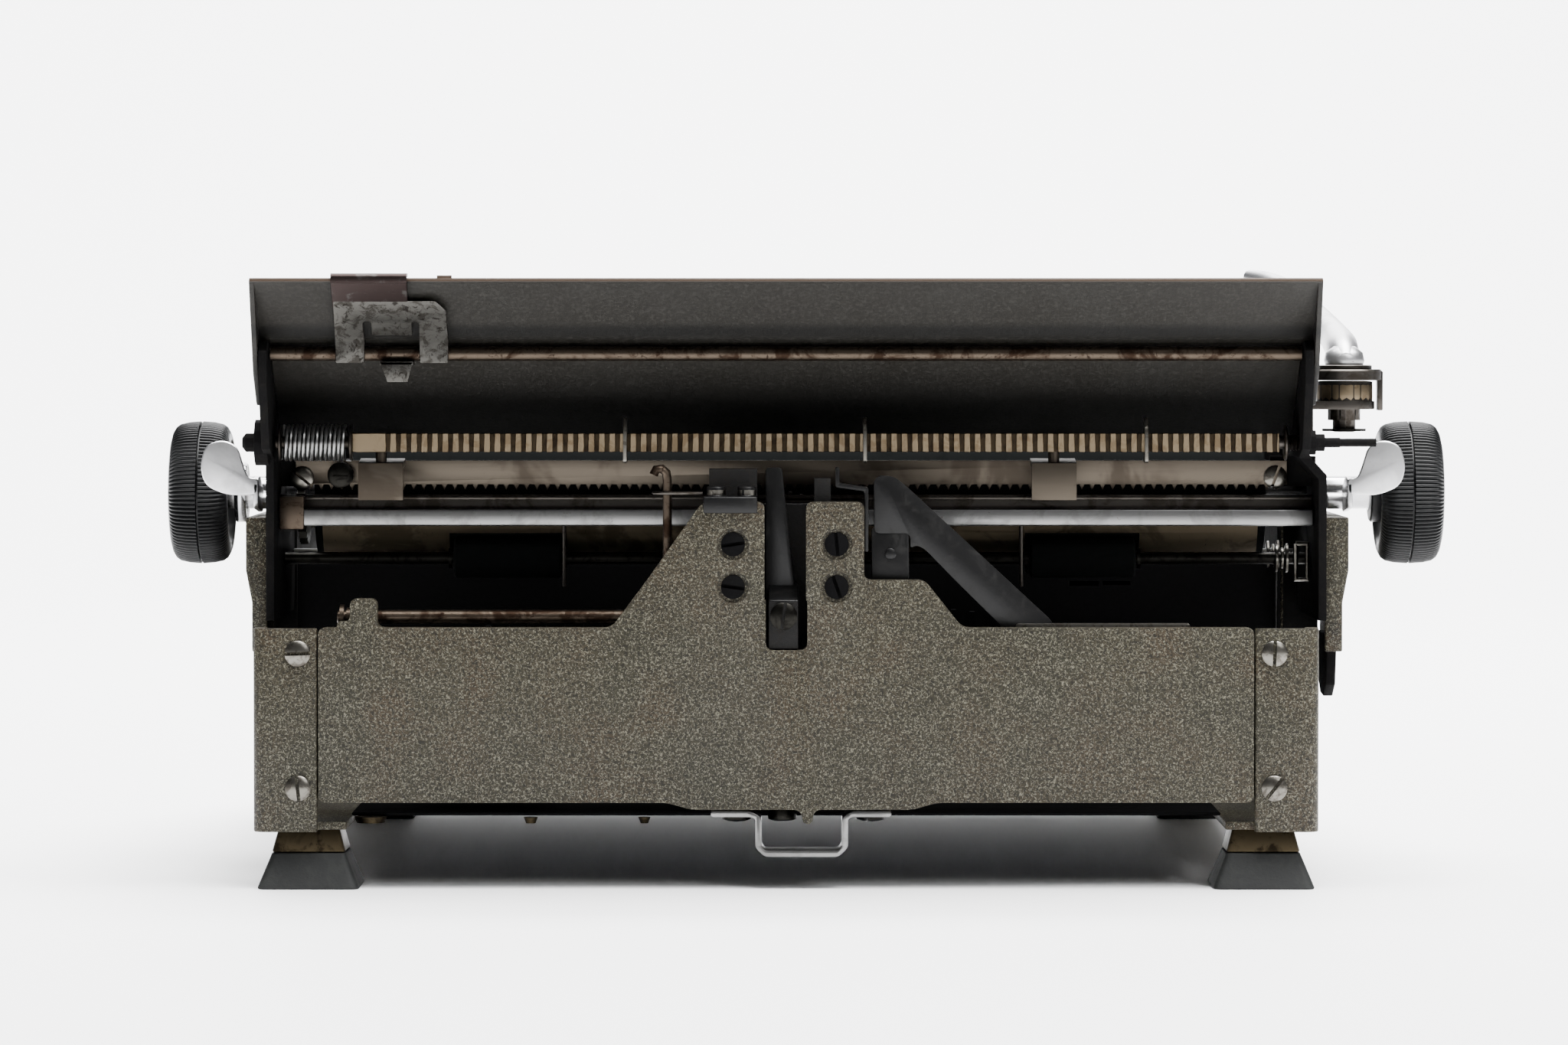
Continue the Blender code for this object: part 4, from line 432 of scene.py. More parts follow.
class Finish(Enum):
    """Every finish on the machine."""

    PAINT = CrinklePaint()
    SHEET = SheetPaint()
    CHROME = PlainMetal("chrome_finish", "bright_chrome", (0.46, 0.46, 0.47), (0.24, 0.235, 0.23), 0.16,
                        0.2, 18, grain=0.25, specks=0.35, speck=(0.045, 0.032, 0.022), bump=0.008)
    SATIN = PlainMetal("satin_chrome", "bright_chrome", (0.62, 0.62, 0.625), (0.50, 0.50, 0.505), 0.34,
                       0.12, 14, specks=0.3, speck=(0.10, 0.03, 0.02), bump=0.01)
    RAIL = PlainMetal("rail_finish", "bright_chrome", (0.21, 0.21, 0.206), (0.15, 0.15, 0.146), 0.30, 0.14,
                      10, specks=0.45, speck=(0.05, 0.04, 0.03), grain=0.1, bump=0.01)
    NICKEL = PlainMetal("nickel_finish", "nickel_screw", (0.135, 0.128, 0.112), (0.060, 0.054, 0.046), 0.28,
                        0.24, 3.0, specks=0.35, speck=(0.02, 0.013, 0.009))
    STEEL = PlainMetal("steel_finish", "worn_steel", (0.052, 0.047, 0.042), (0.027, 0.023, 0.019), 0.36,
                       0.2, 7, specks=0.5, grain=0.3, speck=(0.011, 0.0065, 0.0045))
    PITTED = PlainMetal("pitted_steel", "worn_steel", (0.060, 0.058, 0.053), (0.027, 0.025, 0.022), 0.42,
                        0.2, 2.6, specks=0.8, speck=(0.0075, 0.0060, 0.0050), bump=0.05)
    PLUM = PlainMetal("browned_steel", "worn_steel", (0.024, 0.0175, 0.0165), (0.050, 0.046, 0.044), 0.42,
                      0.2, 5, specks=0.4, speck=(0.009, 0.006, 0.005), edge=0.62)
    STRIP = PlainMetal("brushed_strip", "worn_steel", (0.072, 0.061, 0.048), (0.044, 0.036, 0.028), 0.42,
                       0.14, 24, specks=0.2, grain=0.04, grain_size=0.8, speck=(0.02, 0.014, 0.010))
    RUST = PlainMetal("rust_finish", "rusty_steel", (0.058, 0.045, 0.034), (0.018, 0.011, 0.0075), 0.40,
                      0.25, 7, specks=0.7, grain=0.35, speck=(0.010, 0.005, 0.0035))
    BRASS = PlainMetal("brass_finish", "tan_brass", (0.190, 0.148, 0.096), (0.125, 0.092, 0.056), 0.40, 0.2,
                       5, specks=0.25, speck=(0.018, 0.012, 0.008))
    # A darker copy of the brass: painted shade in the tab rack's notches.
    NOTCH = PlainMetal("notch_shade_brass", "tan_brass", (0.030, 0.022, 0.0135), (0.017, 0.012, 0.008), 0.5, 0.2, 5,
                       specks=0.3, speck=(0.006, 0.004, 0.003))
    PAN = PlainMetal("pan_brass", "tan_brass", (0.085, 0.068, 0.046), (0.045, 0.036, 0.024), 0.55, 0.2, 14,
                     specks=0.4, speck=(0.005, 0.0035, 0.0025))
    CUP = PlainMetal("foot_brass", "tan_brass", (0.034, 0.0265, 0.0155), (0.0095, 0.0072, 0.0045), 0.42,
                     0.2, 6, specks=0.5, speck=(0.006, 0.004, 0.003))
    DARK = PlainMetal("dark_screw", "black_steel", (0.0125, 0.012, 0.0105), (0.0055, 0.005, 0.0045), 0.36,
                      0.2, 3, specks=0.2, speck=(0.006, 0.005, 0.004))
    BLACK = Moulding("black_lacquer", "black_steel", (0.0032, 0.0032, 0.0033), (0.015, 0.014, 0.0125), 0.36,
                     0.30, 5.0, 0.03, 0, 0.2)
    CAST = Moulding("black_casting", "black_steel", (0.0030, 0.0028, 0.0026), (0.016, 0.0125, 0.009), 0.62,
                    0.40, 3.0, 0.12, 0, 0.16)
    # Black of the end plates; on the side panels' inner layers it is painted shade.
    PLATE = Moulding("end_plate_black_and_shade", "black_steel", (0.0036, 0.0035, 0.0036), (0.015, 0.0135, 0.0115),
                     0.8, 0.30, 4.0, 0.08, 0, 0.04)
    # Near-black: the tower screws' own black, and painted shade on the works screen.
    SOOT = Moulding("black_and_painted_shade", "black_steel", (0.0026, 0.0026, 0.0028), (0.005, 0.0045, 0.0040), 0.85,
                    0.30, 8.0, 0.05, 0, 0.04)
    BAKELITE = Moulding("bakelite_finish", "bakelite", (0.0045, 0.0047, 0.0050), (0.014, 0.0145, 0.0145),
                        0.33, 0.25, 3.0, 0.015, 0, 0.16)
    RUBBER = Moulding("rubber_finish", "rubber", (0.0050, 0.0056, 0.0054), (0.036, 0.038, 0.035), 0.66,
                      0.35, 4.0, 0.06, 0, 0.25)
    ROLLER = Moulding("roller_rubber", "rubber", (0.0030, 0.0034, 0.0034), (0.006, 0.0065, 0.006), 0.8, 0.2,
                      6.0, 0.03, 0, 0.02)
    GLASS = Moulding("key_glass", "bakelite", (0.004, 0.004, 0.0045), (0.012, 0.012, 0.012), 0.12, 0.2, 8.0,
                     0.0, 0.6, 0.5)
    LEGEND = Moulding("key_legend", "bakelite", (0.60, 0.58, 0.50), (0.40, 0.37, 0.30), 0.5, 0.3, 3.0, 0.0)
    CLOTH = InkedCloth()

    def material(self) -> bpy.types.Material:
        """The finish's material, made once."""
        return bpy.data.materials.get(self.value.name) or self.value.build()


# Shapes


def baked(holder: bpy.types.Object) -> bmesh.types.BMesh:
    """The final mesh of an object, which is removed.

    Args:
        holder: An object that isn't in the scene yet.

    Returns:
        The mesh, with the object's modifiers applied.
    """
    bpy.context.scene.collection.objects.link(holder)
    mesh = bpy.data.meshes.new_from_object(holder.evaluated_get(bpy.context.evaluated_depsgraph_get()))
    bpy.data.objects.remove(holder)
    made = bmesh.new()
    made.from_mesh(mesh)
    bpy.data.meshes.remove(mesh)
    return made


class Part:
    """A mesh under construction, in millimetres in the machine's frame. Most methods give the part back."""

    def __init__(self, bm: bmesh.types.BMesh | None = None) -> None:
        """Starts empty or from a mesh."""
        self.bm = bm or bmesh.new()

    def join(self, *others: "Part") -> "Part":
        """Adds other parts without merging them.

        Args:
            others: The parts, which are used up.

        Returns:
            This part.
        """
        for other in others:
            mesh = bpy.data.meshes.new("bit")
            other.bm.to_mesh(mesh)
            other.bm.free()
            self.bm.from_mesh(mesh)
            bpy.data.meshes.remove(mesh)
        return self

    def take(self, other: bmesh.types.BMesh) -> "Part":
        """Adds a finished bmesh with its faces turned outwards.

        Args:
            other: The mesh, which is used up.

        Returns:
            This part.
        """
        bmesh.ops.recalc_face_normals(other, faces=other.faces)
        if other.calc_volume(signed=True) < 0:
            bmesh.ops.reverse_faces(other, faces=other.faces)
        return self.join(Part(other))

    def moved(self, matrix: Matrix) -> "Part":
        """Moves the whole mesh."""
        self.bm.transform(matrix)
        return self

    def block(self, x: tuple, y: tuple, z: tuple) -> "Part":
        """A box between two values on each axis.

        Args:
            x, y, z: Where it starts and ends on each axis.

        Returns:
            This part.
        """
        made = bmesh.new()
        place = Matrix.Translation([sum(pair) / 2 for pair in (x, y, z)])
        size = [abs(pair[1] - pair[0]) for pair in (x, y, z)]
        bmesh.ops.create_cube(made, size=1, matrix=place @ Matrix.Diagonal((*size, 1)))
        return self.take(made)

    def prism(self, axis: Axis, outline: list, ends: tuple, corner: float = 0.0, steps: int = 4) -> "Part":
        """A flat outline carried along an axis.

        Args:
            axis: The direction that it is carried in.
            outline: Points in the two other axes, in X, Y, Z order.
            ends: Where it starts and ends along the axis.
            corner: How much the outline's corners are rounded.
            steps: Segments in each rounded corner.

        Returns:
            This part.
        """
        made = bmesh.new()
        half = abs(ends[1] - ends[0]) / 2
        points = rounded(outline, corner, steps) if corner else outline
        face = made.faces.new([made.verts.new((u, v, -half)) for u, v in points])
        grown = bmesh.ops.extrude_face_region(made, geom=[face], use_keep_orig=True)
        far = [item for item in grown["geom"] if isinstance(item, bmesh.types.BMVert)]
        bmesh.ops.translate(made, verts=far, vec=(0, 0, 2 * half))
        made.transform(Matrix.Translation(axis.place(0, 0, sum(ends) / 2)) @ axis.value)
        return self.take(made)

    def turned(self, axis: Axis, centre: tuple, profile: list, sides: int = 32) -> "Part":
        """A turned piece.

        Args:
            axis: The axis that it is turned about.
            centre: The axis's two other coordinates, in X, Y, Z order.
            profile: Pairs of place along the axis and radius, closed onto the axis.
            sides: Steps in the full turn.

        Returns:
            This part.
        """
        made = bmesh.new()
        points = [(profile[0][0], 0), *profile, (profile[-1][0], 0)]
        verts = [made.verts.new((radius, 0, along)) for along, radius in points]
        edges = [made.edges.new(pair) for pair in zip(verts, verts[1:])]
        bmesh.ops.spin(made, geom=verts + edges, cent=(0, 0, 0), axis=(0, 0, 1), angle=TURN, steps=sides,
                       use_merge=True)
        bmesh.ops.remove_doubles(made, verts=made.verts, dist=MERGE)
        made.transform(Matrix.Translation(axis.place(*centre)) @ axis.facing())
        return self.take(made)

    def wire(self, points: list, radius: float, sides: int = 2, radii: tuple = ()) -> "Part":
        """A round bar along points, with filled ends.

        Args:
            points: The route.
            radius: Its radius.
            sides: Resolution of the round, 2 for eight sides.
            radii: A share of the radius at each point, which makes the route a smooth curve.

        Returns:
            This part.
        """
        curve = bpy.data.curves.new("route", "CURVE")
        curve.dimensions = "3D"
        curve.bevel_depth = radius
        curve.bevel_resolution = sides
        curve.use_fill_caps = True
        curve.resolution_u = 8
        spline = curve.splines.new("NURBS" if radii else "POLY")
        spline.points.add(len(points) - 1)
        for place, point, share in zip(spline.points, points, radii or [1] * len(points)):
            place.co = (*point, 1)
            place.radius = share
        if radii:
            spline.order_u = 4
            spline.use_endpoint_u = True
        made = baked(bpy.data.objects.new("route", curve))
        bmesh.ops.remove_doubles(made, verts=made.verts, dist=MERGE)
        return self.take(made)

    def bevel(self, width: float = 0.3, segments: int = 2, angle: float = 28) -> "Part":
        """Rounds every edge that turns by more than an angle.

        Args:
            width: How far the rounding reaches from the edge.
            segments: Its steps.
            angle: Edges that turn by less than this many degrees are left.

        Returns:
            This part.
        """
        limit = math.radians(angle)
        edges = [e for e in self.bm.edges if e.is_manifold and e.calc_face_angle(0) > limit]
        bmesh.ops.bevel(self.bm, geom=edges, offset=width, segments=segments, profile=0.5, affect="EDGES",
                        clamp_overlap=True, material=-1)
        return self

    def carve(self, other: "Part") -> "Part":
        """Cuts away what is shared with another part.

        Args:
            other: The part to cut with, which is used up.

        Returns:
            This part.
        """
        target, cutter = (bpy.data.objects.new("bit", bpy.data.meshes.new("bit")) for _ in range(2))
        for part, holder in ((self, target), (other, cutter)):
            part.bm.to_mesh(holder.data)
            part.bm.free()
        bpy.context.scene.collection.objects.link(cutter)
        boolean = target.modifiers.new("cut", "BOOLEAN")
        boolean.operation = "DIFFERENCE"
        boolean.object = cutter
        self.bm = baked(target)
        bmesh.ops.remove_doubles(self.bm, verts=self.bm.verts, dist=MERGE)
        bpy.data.objects.remove(cutter)
        return self

    def piece(self, name: str, finish: Finish, body: str = "body", node: str = "",
              smooth: float = 38) -> None:
        """Makes the object, dresses it and seats it on its body.

        Args:
            name: The piece's name.
            finish: Its finish.
            body: The body that it rides on.
            node: The node that it stands for, if any.
            smooth: Edges that turn by more than this many degrees stay sharp.
        """
        self.bm.transform(Matrix.Scale(MM, 4) @ Matrix.Translation(-ORIGIN))
        mesh = bpy.data.meshes.new(name)
        self.bm.to_mesh(mesh)
        self.bm.free()
        mesh.shade_smooth()
        mesh.set_sharp_from_angle(angle=math.radians(smooth))
        mesh.materials.append(finish.material())
        obj = bpy.data.objects.new(name, mesh)
        bpy.context.scene.collection.objects.link(obj)
        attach(obj, body)
        if node:
            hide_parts(node)
        LOG.info("%s: %d faces", name, len(mesh.polygons))

    def stand_in(self, node: str, finish: Finish, smooth: float = 38) -> None:
        """Makes the piece that stands for a node, on the node's own body."""
        self.piece(node + "_dressed", finish, frame["nodes"][node]["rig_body"], node, smooth)


def solid(node: str) -> Part:
    """A merged copy of a node's mesh with its flat faces made whole, in millimetres.

    Args:
        node: The node's name.

    Returns:
        The copy.
    """
    bm = bmesh.new()
    bm.from_mesh(frame["nodes"][node].data)
    bm.transform(Matrix.Translation(ORIGIN) @ Matrix.Scale(1 / MM, 4))
    bmesh.ops.remove_doubles(bm, verts=bm.verts, dist=10 * MERGE)
    bmesh.ops.recalc_face_normals(bm, faces=bm.faces)
    bmesh.ops.dissolve_limit(bm, angle_limit=0.01, verts=bm.verts, edges=bm.edges)
    return Part(bm)


def dress(node: str, finish: Finish, width: float = 0.25, segments: int = 2) -> None:
    """Stands a copy of a node, with its edges rounded by the width in so many segments, in for it."""
    solid(node).bevel(width, segments).stand_in(node, finish)


def arc(centre: tuple, radius: float, start: float, end: float, steps: int) -> list:
    """Points along an arc, in degrees."""
    turns = [math.radians(start + (end - start) * i / steps) for i in range(steps + 1)]
    return [(centre[0] + radius * math.cos(t), centre[1] + radius * math.sin(t)) for t in turns]


def rounded(outline: list, radius: float, steps: int = 4) -> list:
    """The outline with each corner rounded as far as its two sides allow.

    Args:
        outline: The corners.
        radius: How far a rounding reaches from its corner.
        steps: Segments in each.

    Returns:
        The points.
    """
    made = []
    count = len(outline)
    for i in range(count):
        before, here, after = (Vector(outline[(i + k) % count]) for k in (-1, 0, 1))
        reach = min(radius, (before - here).length * 0.48, (after - here).length * 0.48)
        start = here + (before - here).normalized() * reach
        end = here + (after - here).normalized() * reach
        for k in range(steps + 1):
            t = k / steps
            point = start * (1 - t) ** 2 + here * 2 * t * (1 - t) + end * t ** 2
            made.append((point.x, point.y))
    return made


def barrel(low: float, high: float, radius: float, fall: float, edge: float) -> list:
    """The profile of a round bar whose radius falls a little over the last edge millimetres."""
    return [(low, radius - fall), (low + edge, radius), (high - edge, radius), (high, radius - fall)]


def span(side: int, inner: float, outer: float) -> tuple:
    """Two distances from the middle as a rising pair of x on one side, 1 or -1."""
    return (side * inner, side * outer) if side > 0 else (side * outer, side * inner)


@dataclass(frozen=True)
class Screw:
    """A screw's head with a slot.

    The floor is where the slot ends above the seat; below the seat it cuts through.
    """

    radius: float
    rise: float
    dome: float = 0.5
    slot: float = 0.8
    floor: float = -1.0

    def heads(self, axis: Axis, places: tuple, seat: float, out: int) -> Part:
        """Makes a head at each place.

        Args:
            axis: The screws' axis.
            places: The two other coordinates of each, and its slot's angle in degrees.
            seat: Where they sit along the axis.
            out: Which way the heads stand, 1 or -1.

        Returns:
            The part.
        """
        crown = self.rise + self.dome
        reach = self.radius + 1
        profile = [(-0.4, self.radius), (self.rise - 0.2, self.radius), (self.rise, self.radius - 0.25),
                   (self.rise + self.dome * 0.6, self.radius * 0.6), (crown, self.radius * 0.18)]
        made = Part()
        for u, v, turn in places:
            cut = Part().block((-reach, reach), (-self.slot / 2, self.slot / 2), (self.floor, crown + 1))
            head = Part().turned(Axis.Z, (0, 0), profile)
            head.carve(cut.moved(Matrix.Rotation(math.radians(turn), 4, "Z")))
            made.join(head.moved(Matrix.Translation(axis.place(u, v, seat)) @ axis.facing(out)))
        return made


# The body


@dataclass
class RearCasting:
    """The cast rear panel with its two towers, ear and slot."""

    top: float = 63.2
    low: float = 21.0
    half: float = 112.7
    thickness: float = 5.0
    seat: float = 0.75
    screws: tuple = ((-12.8, 83.3, 8), (-12.8, 73.0, 172), (12.2, 83.3, 96), (12.2, 73.0, 110))

    def outline(self) -> list:
        """The panel seen from behind, from its lower left corner round by the towers.

        Returns:
            Points in x and z.
        """
        h, top, low = self.half, self.top, self.low
        return [
            (-h, low), (-28.7, low), (-22.8, 19.3), (3.5, 19.3), (4.1, 15.9), (6.2, 15.9), (6.8, 19.3),
            (30.4, 19.3), (36.3, low), (h, low), (h, top), (42.5, top), (34, 73.9), (32.5, 74.7),
            (18.8, 74.7), (18.8, 93.5), (4.8, 93.5), (4.8, 69.8), (5.1, 69.8), (5.1, 57.8), (-4.9, 57.8),
            (-4.9, 69.8), (-5.2, 69.8), (-5.2, 93.5), (-19.3, 93.5), (-20.9, 92.5), (-33.7, 74.4),
            (-41.5, 64), (-43, top), (-98.5, top), (-98.5, 70.2), (-105, 70.2), (-105, 64.7),
            (-108.1, 64.7), (-108.1, top), (-h, top),
        ]

    def build(self) -> None:
        """Makes the casting, its tower screws and the strip behind its top edge."""
        panel = Part().prism(Axis.Y, self.outline(), (0, self.thickness), 1.8).bevel(0.75, 3, 40)
        for x, z, _ in self.screws:
            panel.carve(Part().turned(Axis.Y, (x, z), [(-1, 4.0), (0.7, 3.7), (self.seat, 3.5)]))
        panel.join(Part().block((-21.5, 29), (4, 15), (19.7, 22.7)).bevel(0.5))
        for side in (1, -1):
            panel.block(span(side, 108.7, 112.9), (2.8, 4.6), (24, 60))
        panel.stand_in("rear_casting", Finish.PAINT)
        heads = Screw(2.9, 0.7, 0.7, 0.85, 0.05).heads(Axis.Y, self.screws, self.seat, -1)
        heads.piece("tower_screws", Finish.SOOT)
        strip = Part().prism(Axis.Y, [(55.4, 60), (97.6, 60), (97.6, 64.1), (55.4, 64.1)], (5.1, 7.0), 0.8)
        strip.bevel(0.3).piece("casting_top_strip", Finish.NICKEL)


@dataclass
class SidePanel:
    """One side of the body: its wall, rear corner flange, ledge, foot cups and corner screws."""

    side: int
    inner: float = 125.5
    skin: float = 126.3
    outer: float = 128.5
    corner: float = 3.2
    rear: tuple = (13.9, 63.0)
    feet_y: tuple = (12.5, 237.5)
    foot_x: float = 115.3
    screw_x: float = 117.6
    screws_z: tuple = (57.0, 24.5)

    def wall(self) -> list:
        """The wall's outline in y and z.

        Returns:
            Points in y and z.
        """
        return rounded([
            (8.8, 14.1), (284, 14.1), (289, 19.1), (289, 34), (202, 70), (186, 84), (152, 100), (96, 100),
            (92, 97), (92, 48), (86, 42), (20, 42), (16, 46), (14, 62.8), (8.8, 62.8),
        ], 3.0)

    def flange(self) -> list:
        """The corner flange's outline from above, rounded at the outer corner.

        Returns:
            Points in x and y.
        """
        bend = arc((self.outer - self.corner, self.corner), self.corner, -90, 0, 6)
        points = [(113.0, 2.5), (113.0, 0.4), (113.4, 0), *bend, (self.outer, 9), (self.inner, 9),
                  (self.inner, 2.5)]
        return [(self.side * x, y) for x, y in points]

    def build(self) -> None:
        """Makes the panel, its cups, feet and screws."""
        name = "left" if self.side > 0 else "right"
        panel = Part().prism(Axis.X, self.wall(), span(self.side, self.skin, self.outer)).bevel(0.6, 2, 40)
        # The wall's inner layer is near-black: painted shade for the inside of the body.
        shade_lining = Part().prism(Axis.X, self.wall(), span(self.side, self.inner, self.skin)).bevel(0.2, 1, 40)
        shade_lining.piece(f"{name}_panel_lining", Finish.PLATE)
        flange = Part().prism(Axis.Z, self.flange(), self.rear).bevel(0.6, 2, 40)
        ledge = Part().block(span(self.side, 106, 126), (2.4, 281), (14.3, 16.3)).bevel(0.4)
        panel.join(flange, ledge).stand_in(f"{name}_side_panel", Finish.PAINT)
        cups = Part()
        for y, place in zip(self.feet_y, ("rear", "front")):
            cups.join(self.frustum(y, (8.75, 14.6), 8.85, 7.5, 1.3))
            self.frustum(y, (0, 8.6), 12.25, 9.1, 2.2).stand_in(f"{place}_{name}_foot", Finish.RUBBER)
        cups.piece(f"{name}_foot_cups", Finish.CUP)
        turns = (88, 52) if self.side > 0 else (2, 96)
        places = tuple((self.side * self.screw_x, z, turn) for z, turn in zip(self.screws_z, turns))
        Screw(3.1, 0.9, 0.5, 0.85).heads(Axis.Y, places, 0, -1).piece(f"{name}_corner_screws", Finish.NICKEL)

    def frustum(self, y: float, ends: tuple, bottom: float, top: float, corner: float) -> Part:
        """A square foot that narrows upwards, with rounded corners.

        Args:
            y: Its place.
            ends: Where it starts and ends in z.
            bottom: Half its width at the bottom.
            top: Half its width at the top.
            corner: Radius of its upright corners.

        Returns:
            The part.
        """
        square = [(-bottom, -bottom), (bottom, -bottom), (bottom, bottom), (-bottom, bottom)]
        made = Part().prism(Axis.Z, square, ends, corner, 5)
        for vert in made.bm.verts:
            if vert.co.z > sum(ends) / 2:
                vert.co.xy = vert.co.xy * (top / bottom)
        return made.bevel(0.45, 3, 50).moved(Matrix.Translation((self.side * self.foot_x, y, 0)))


@dataclass
class TowerFittings:
    """What stands in and beside the two towers: the leaf lever, cap plate, rods, springs and small plates."""

    tie: tuple = (8.4, 65.5)
    hook_y: float = 6.5

    def build(self) -> None:
        """Makes every fitting."""
        dress("bearing_block", Finish.CAST, 0.5, 3)
        dress("tower_cap_plate", Finish.BLACK, 0.35)
        caps = Screw(2.3, 1.7, 0.35, 0.6).heads(Axis.Z, ((-16.8, 4, 20), (-9.4, 4, 65)), 94.8, 1)
        caps.piece("cap_screws", Finish.NICKEL)
        self.leaf()
        self.hook()
        self.plates()
        rod = Part().turned(Axis.X, self.tie, [(-108.6, 1.4), (-108.3, 1.7), (-18.9, 1.7)], 24)
        for ends, radius in (((-107.9, -106.9), 3.0), ((-106.3, -105.3), 2.3)):
            rod.turned(Axis.X, self.tie, [(x, radius) for x in ends], 24)
        rod.stand_in("tie_rod", Finish.RUST)

    def leaf(self) -> None:
        """The flat lever in the slot, with its screw."""
        outline = [(-5, 69.7), (2.4, 69.7), (2, 73.9), (-0.9, 101), (-1.6, 101.6), (-4.6, 101.6), (-5, 101)]
        foot = [(1.2, 58.2), (17.8, 58.2), (17.8, 60), (3.2, 60), (3.2, 69), (12.2, 71.5), (12.2, 73.5),
                (1.2, 69.8)]
        leaf = Part().prism(Axis.Y, outline, (10.9, 12.3), 1.2).bevel()
        leaf.join(Part().prism(Axis.X, foot, (-4.2, 2.9)).bevel()).stand_in("slot_leaf", Finish.BLACK)
        head = Screw(3.3, 0.4, 0.5, 0.8, 0.05).heads(Axis.Y, ((-0.6, 66, 82),), -0.3, -1)
        head.piece("leaf_screw", Finish.DARK)

    def hook(self) -> None:
        """The upright hooked rod and the hairpin spring round it."""
        rod = [(-28.7, 69), (-28.7, 98.6), (-28.9, 100.4), (-30, 101.4), (-31.4, 101.2), (-32.0, 99.9)]
        Part().wire([(x, self.hook_y, z) for x, z in rod], 1.1, 3).stand_in("hook_rod", Finish.RUST)
        loop = [(-30 + 2.0 * math.cos(t), self.hook_y + 2.1 * math.sin(t)) for t in
                (math.radians(90 + 22.5 * i) for i in range(9))]
        route = [(-20.2, 8.3), (-25, 8.4), *loop, (-25, 4.6), (-20.2, 4.7)]
        Part().wire([(*point, 95.5) for point in route], 0.4).stand_in("hairpin_spring", Finish.STEEL)

    def plates(self) -> None:
        """The twice bent strip beside the right tower, and the arched plate with its bracket and rivet."""
        strip = [(18.9, 81.3), (19.9, 81.3), (19.9, 96.9), (12.9, 97.9), (12.9, 101.7), (11.9, 101.7),
                 (11.9, 96.9), (18.9, 95.9)]
        Part().prism(Axis.Y, strip, (5.5, 12.5), 0.6).bevel(0.2).stand_in("keeper_strip", Finish.BLACK)
        arch = [(21.2, 85.8), (21.2, 98.6), (22.5, 99.8), (26, 99.6), (29.3, 97), (64.5, 64.4), (64.5, 57),
                (58.5, 57), (40.2, 75.1), (33.5, 82), (31.5, 82.9), (30, 82.2), (30, 85.8)]
        bracket = [(20.6, 74.4), (29.7, 74.4), (29.7, 86), (28, 87.2), (20.6, 87.2)]
        plate = Part().prism(Axis.Y, arch, (5.3, 6.8), 1.5).bevel()
        plate.join(Part().prism(Axis.Y, bracket, (5.5, 7.0), 1.0).bevel())
        plate.turned(Axis.Y, (25.2, 80.8), [(6, 1.4), (5.1, 1.4), (4.9, 1.1)], 20)
        plate.stand_in("guide_plate", Finish.BLACK)


@dataclass
class LatchLoop:
    """The bent strip under the rear panel that the case's latch takes hold of."""

    strip: float = 1.6
    width: tuple = (1.0, 13.0)

    def build(self) -> None:
        """Makes the loop, its two screws and the knob between them."""
        centre = [(-18.2, 18.2), (-8.6, 18.2), (-6.7, 17.2), (-6.7, 10.2), (-5.1, 8.6), (12.6, 8.6),
                  (14.2, 10.2), (14.2, 17.2), (16.1, 18.2), (25.4, 18.2)]
        sides = [self.aside(centre, self.strip / 2 * k) for k in (1, -1)]
        loop = Part().prism(Axis.Y, sides[0] + sides[1][::-1], self.width, 1.0, 3).bevel(0.3, 2, 40)
        loop.stand_in("case_latch_loop", Finish.RAIL)
        heads = Screw(3.5, 0.9, 0.5, 0.9).heads(Axis.Z, ((-12, 7, 40), (20.5, 7, 110)), 17.4, -1)
        heads.piece("latch_screws", Finish.DARK)
        knob = Part().turned(Axis.Z, (-0.9, 9), [(16.1, 2.4), (16.5, 3.4), (17.6, 3.6), (19.6, 3.0)], 24)
        knob.piece("latch_knob", Finish.DARK)

    def aside(self, points: list, offset: float) -> list:
        """The route moved sideways by an offset.

        Args:
            points: The route.
            offset: How far to its left it moves.

        Returns:
            The moved points.
        """
        made = []
        for i, point in enumerate(points):
            before = Vector(points[max(i - 1, 0)])
            after = Vector(points[min(i + 1, len(points) - 1)])
            along = (after - before).normalized()
            made.append((point[0] - along.y * offset, point[1] + along.x * offset))
        return made


@dataclass
class Pan:
    """The base pan, the front apron and the rivets that show below the body."""

    rivets: tuple = ((-101, 14, 4), (-62, 12, 1.75), (-34.4, 12, 1.5))

    def build(self) -> None:
        """Makes the pans and rivets."""
        dress("base_pan", Finish.BLACK, 0.3)
        dress("front_apron", Finish.PAINT, 0.8, 3)
        heads = Part()
        for x, y, radius in self.rivets:
            heads.turned(Axis.Z, (x, y), [(15.2, radius - 0.6), (16.7, radius)], 20)
        heads.piece("base_rivets", Finish.CUP)


# The carriage


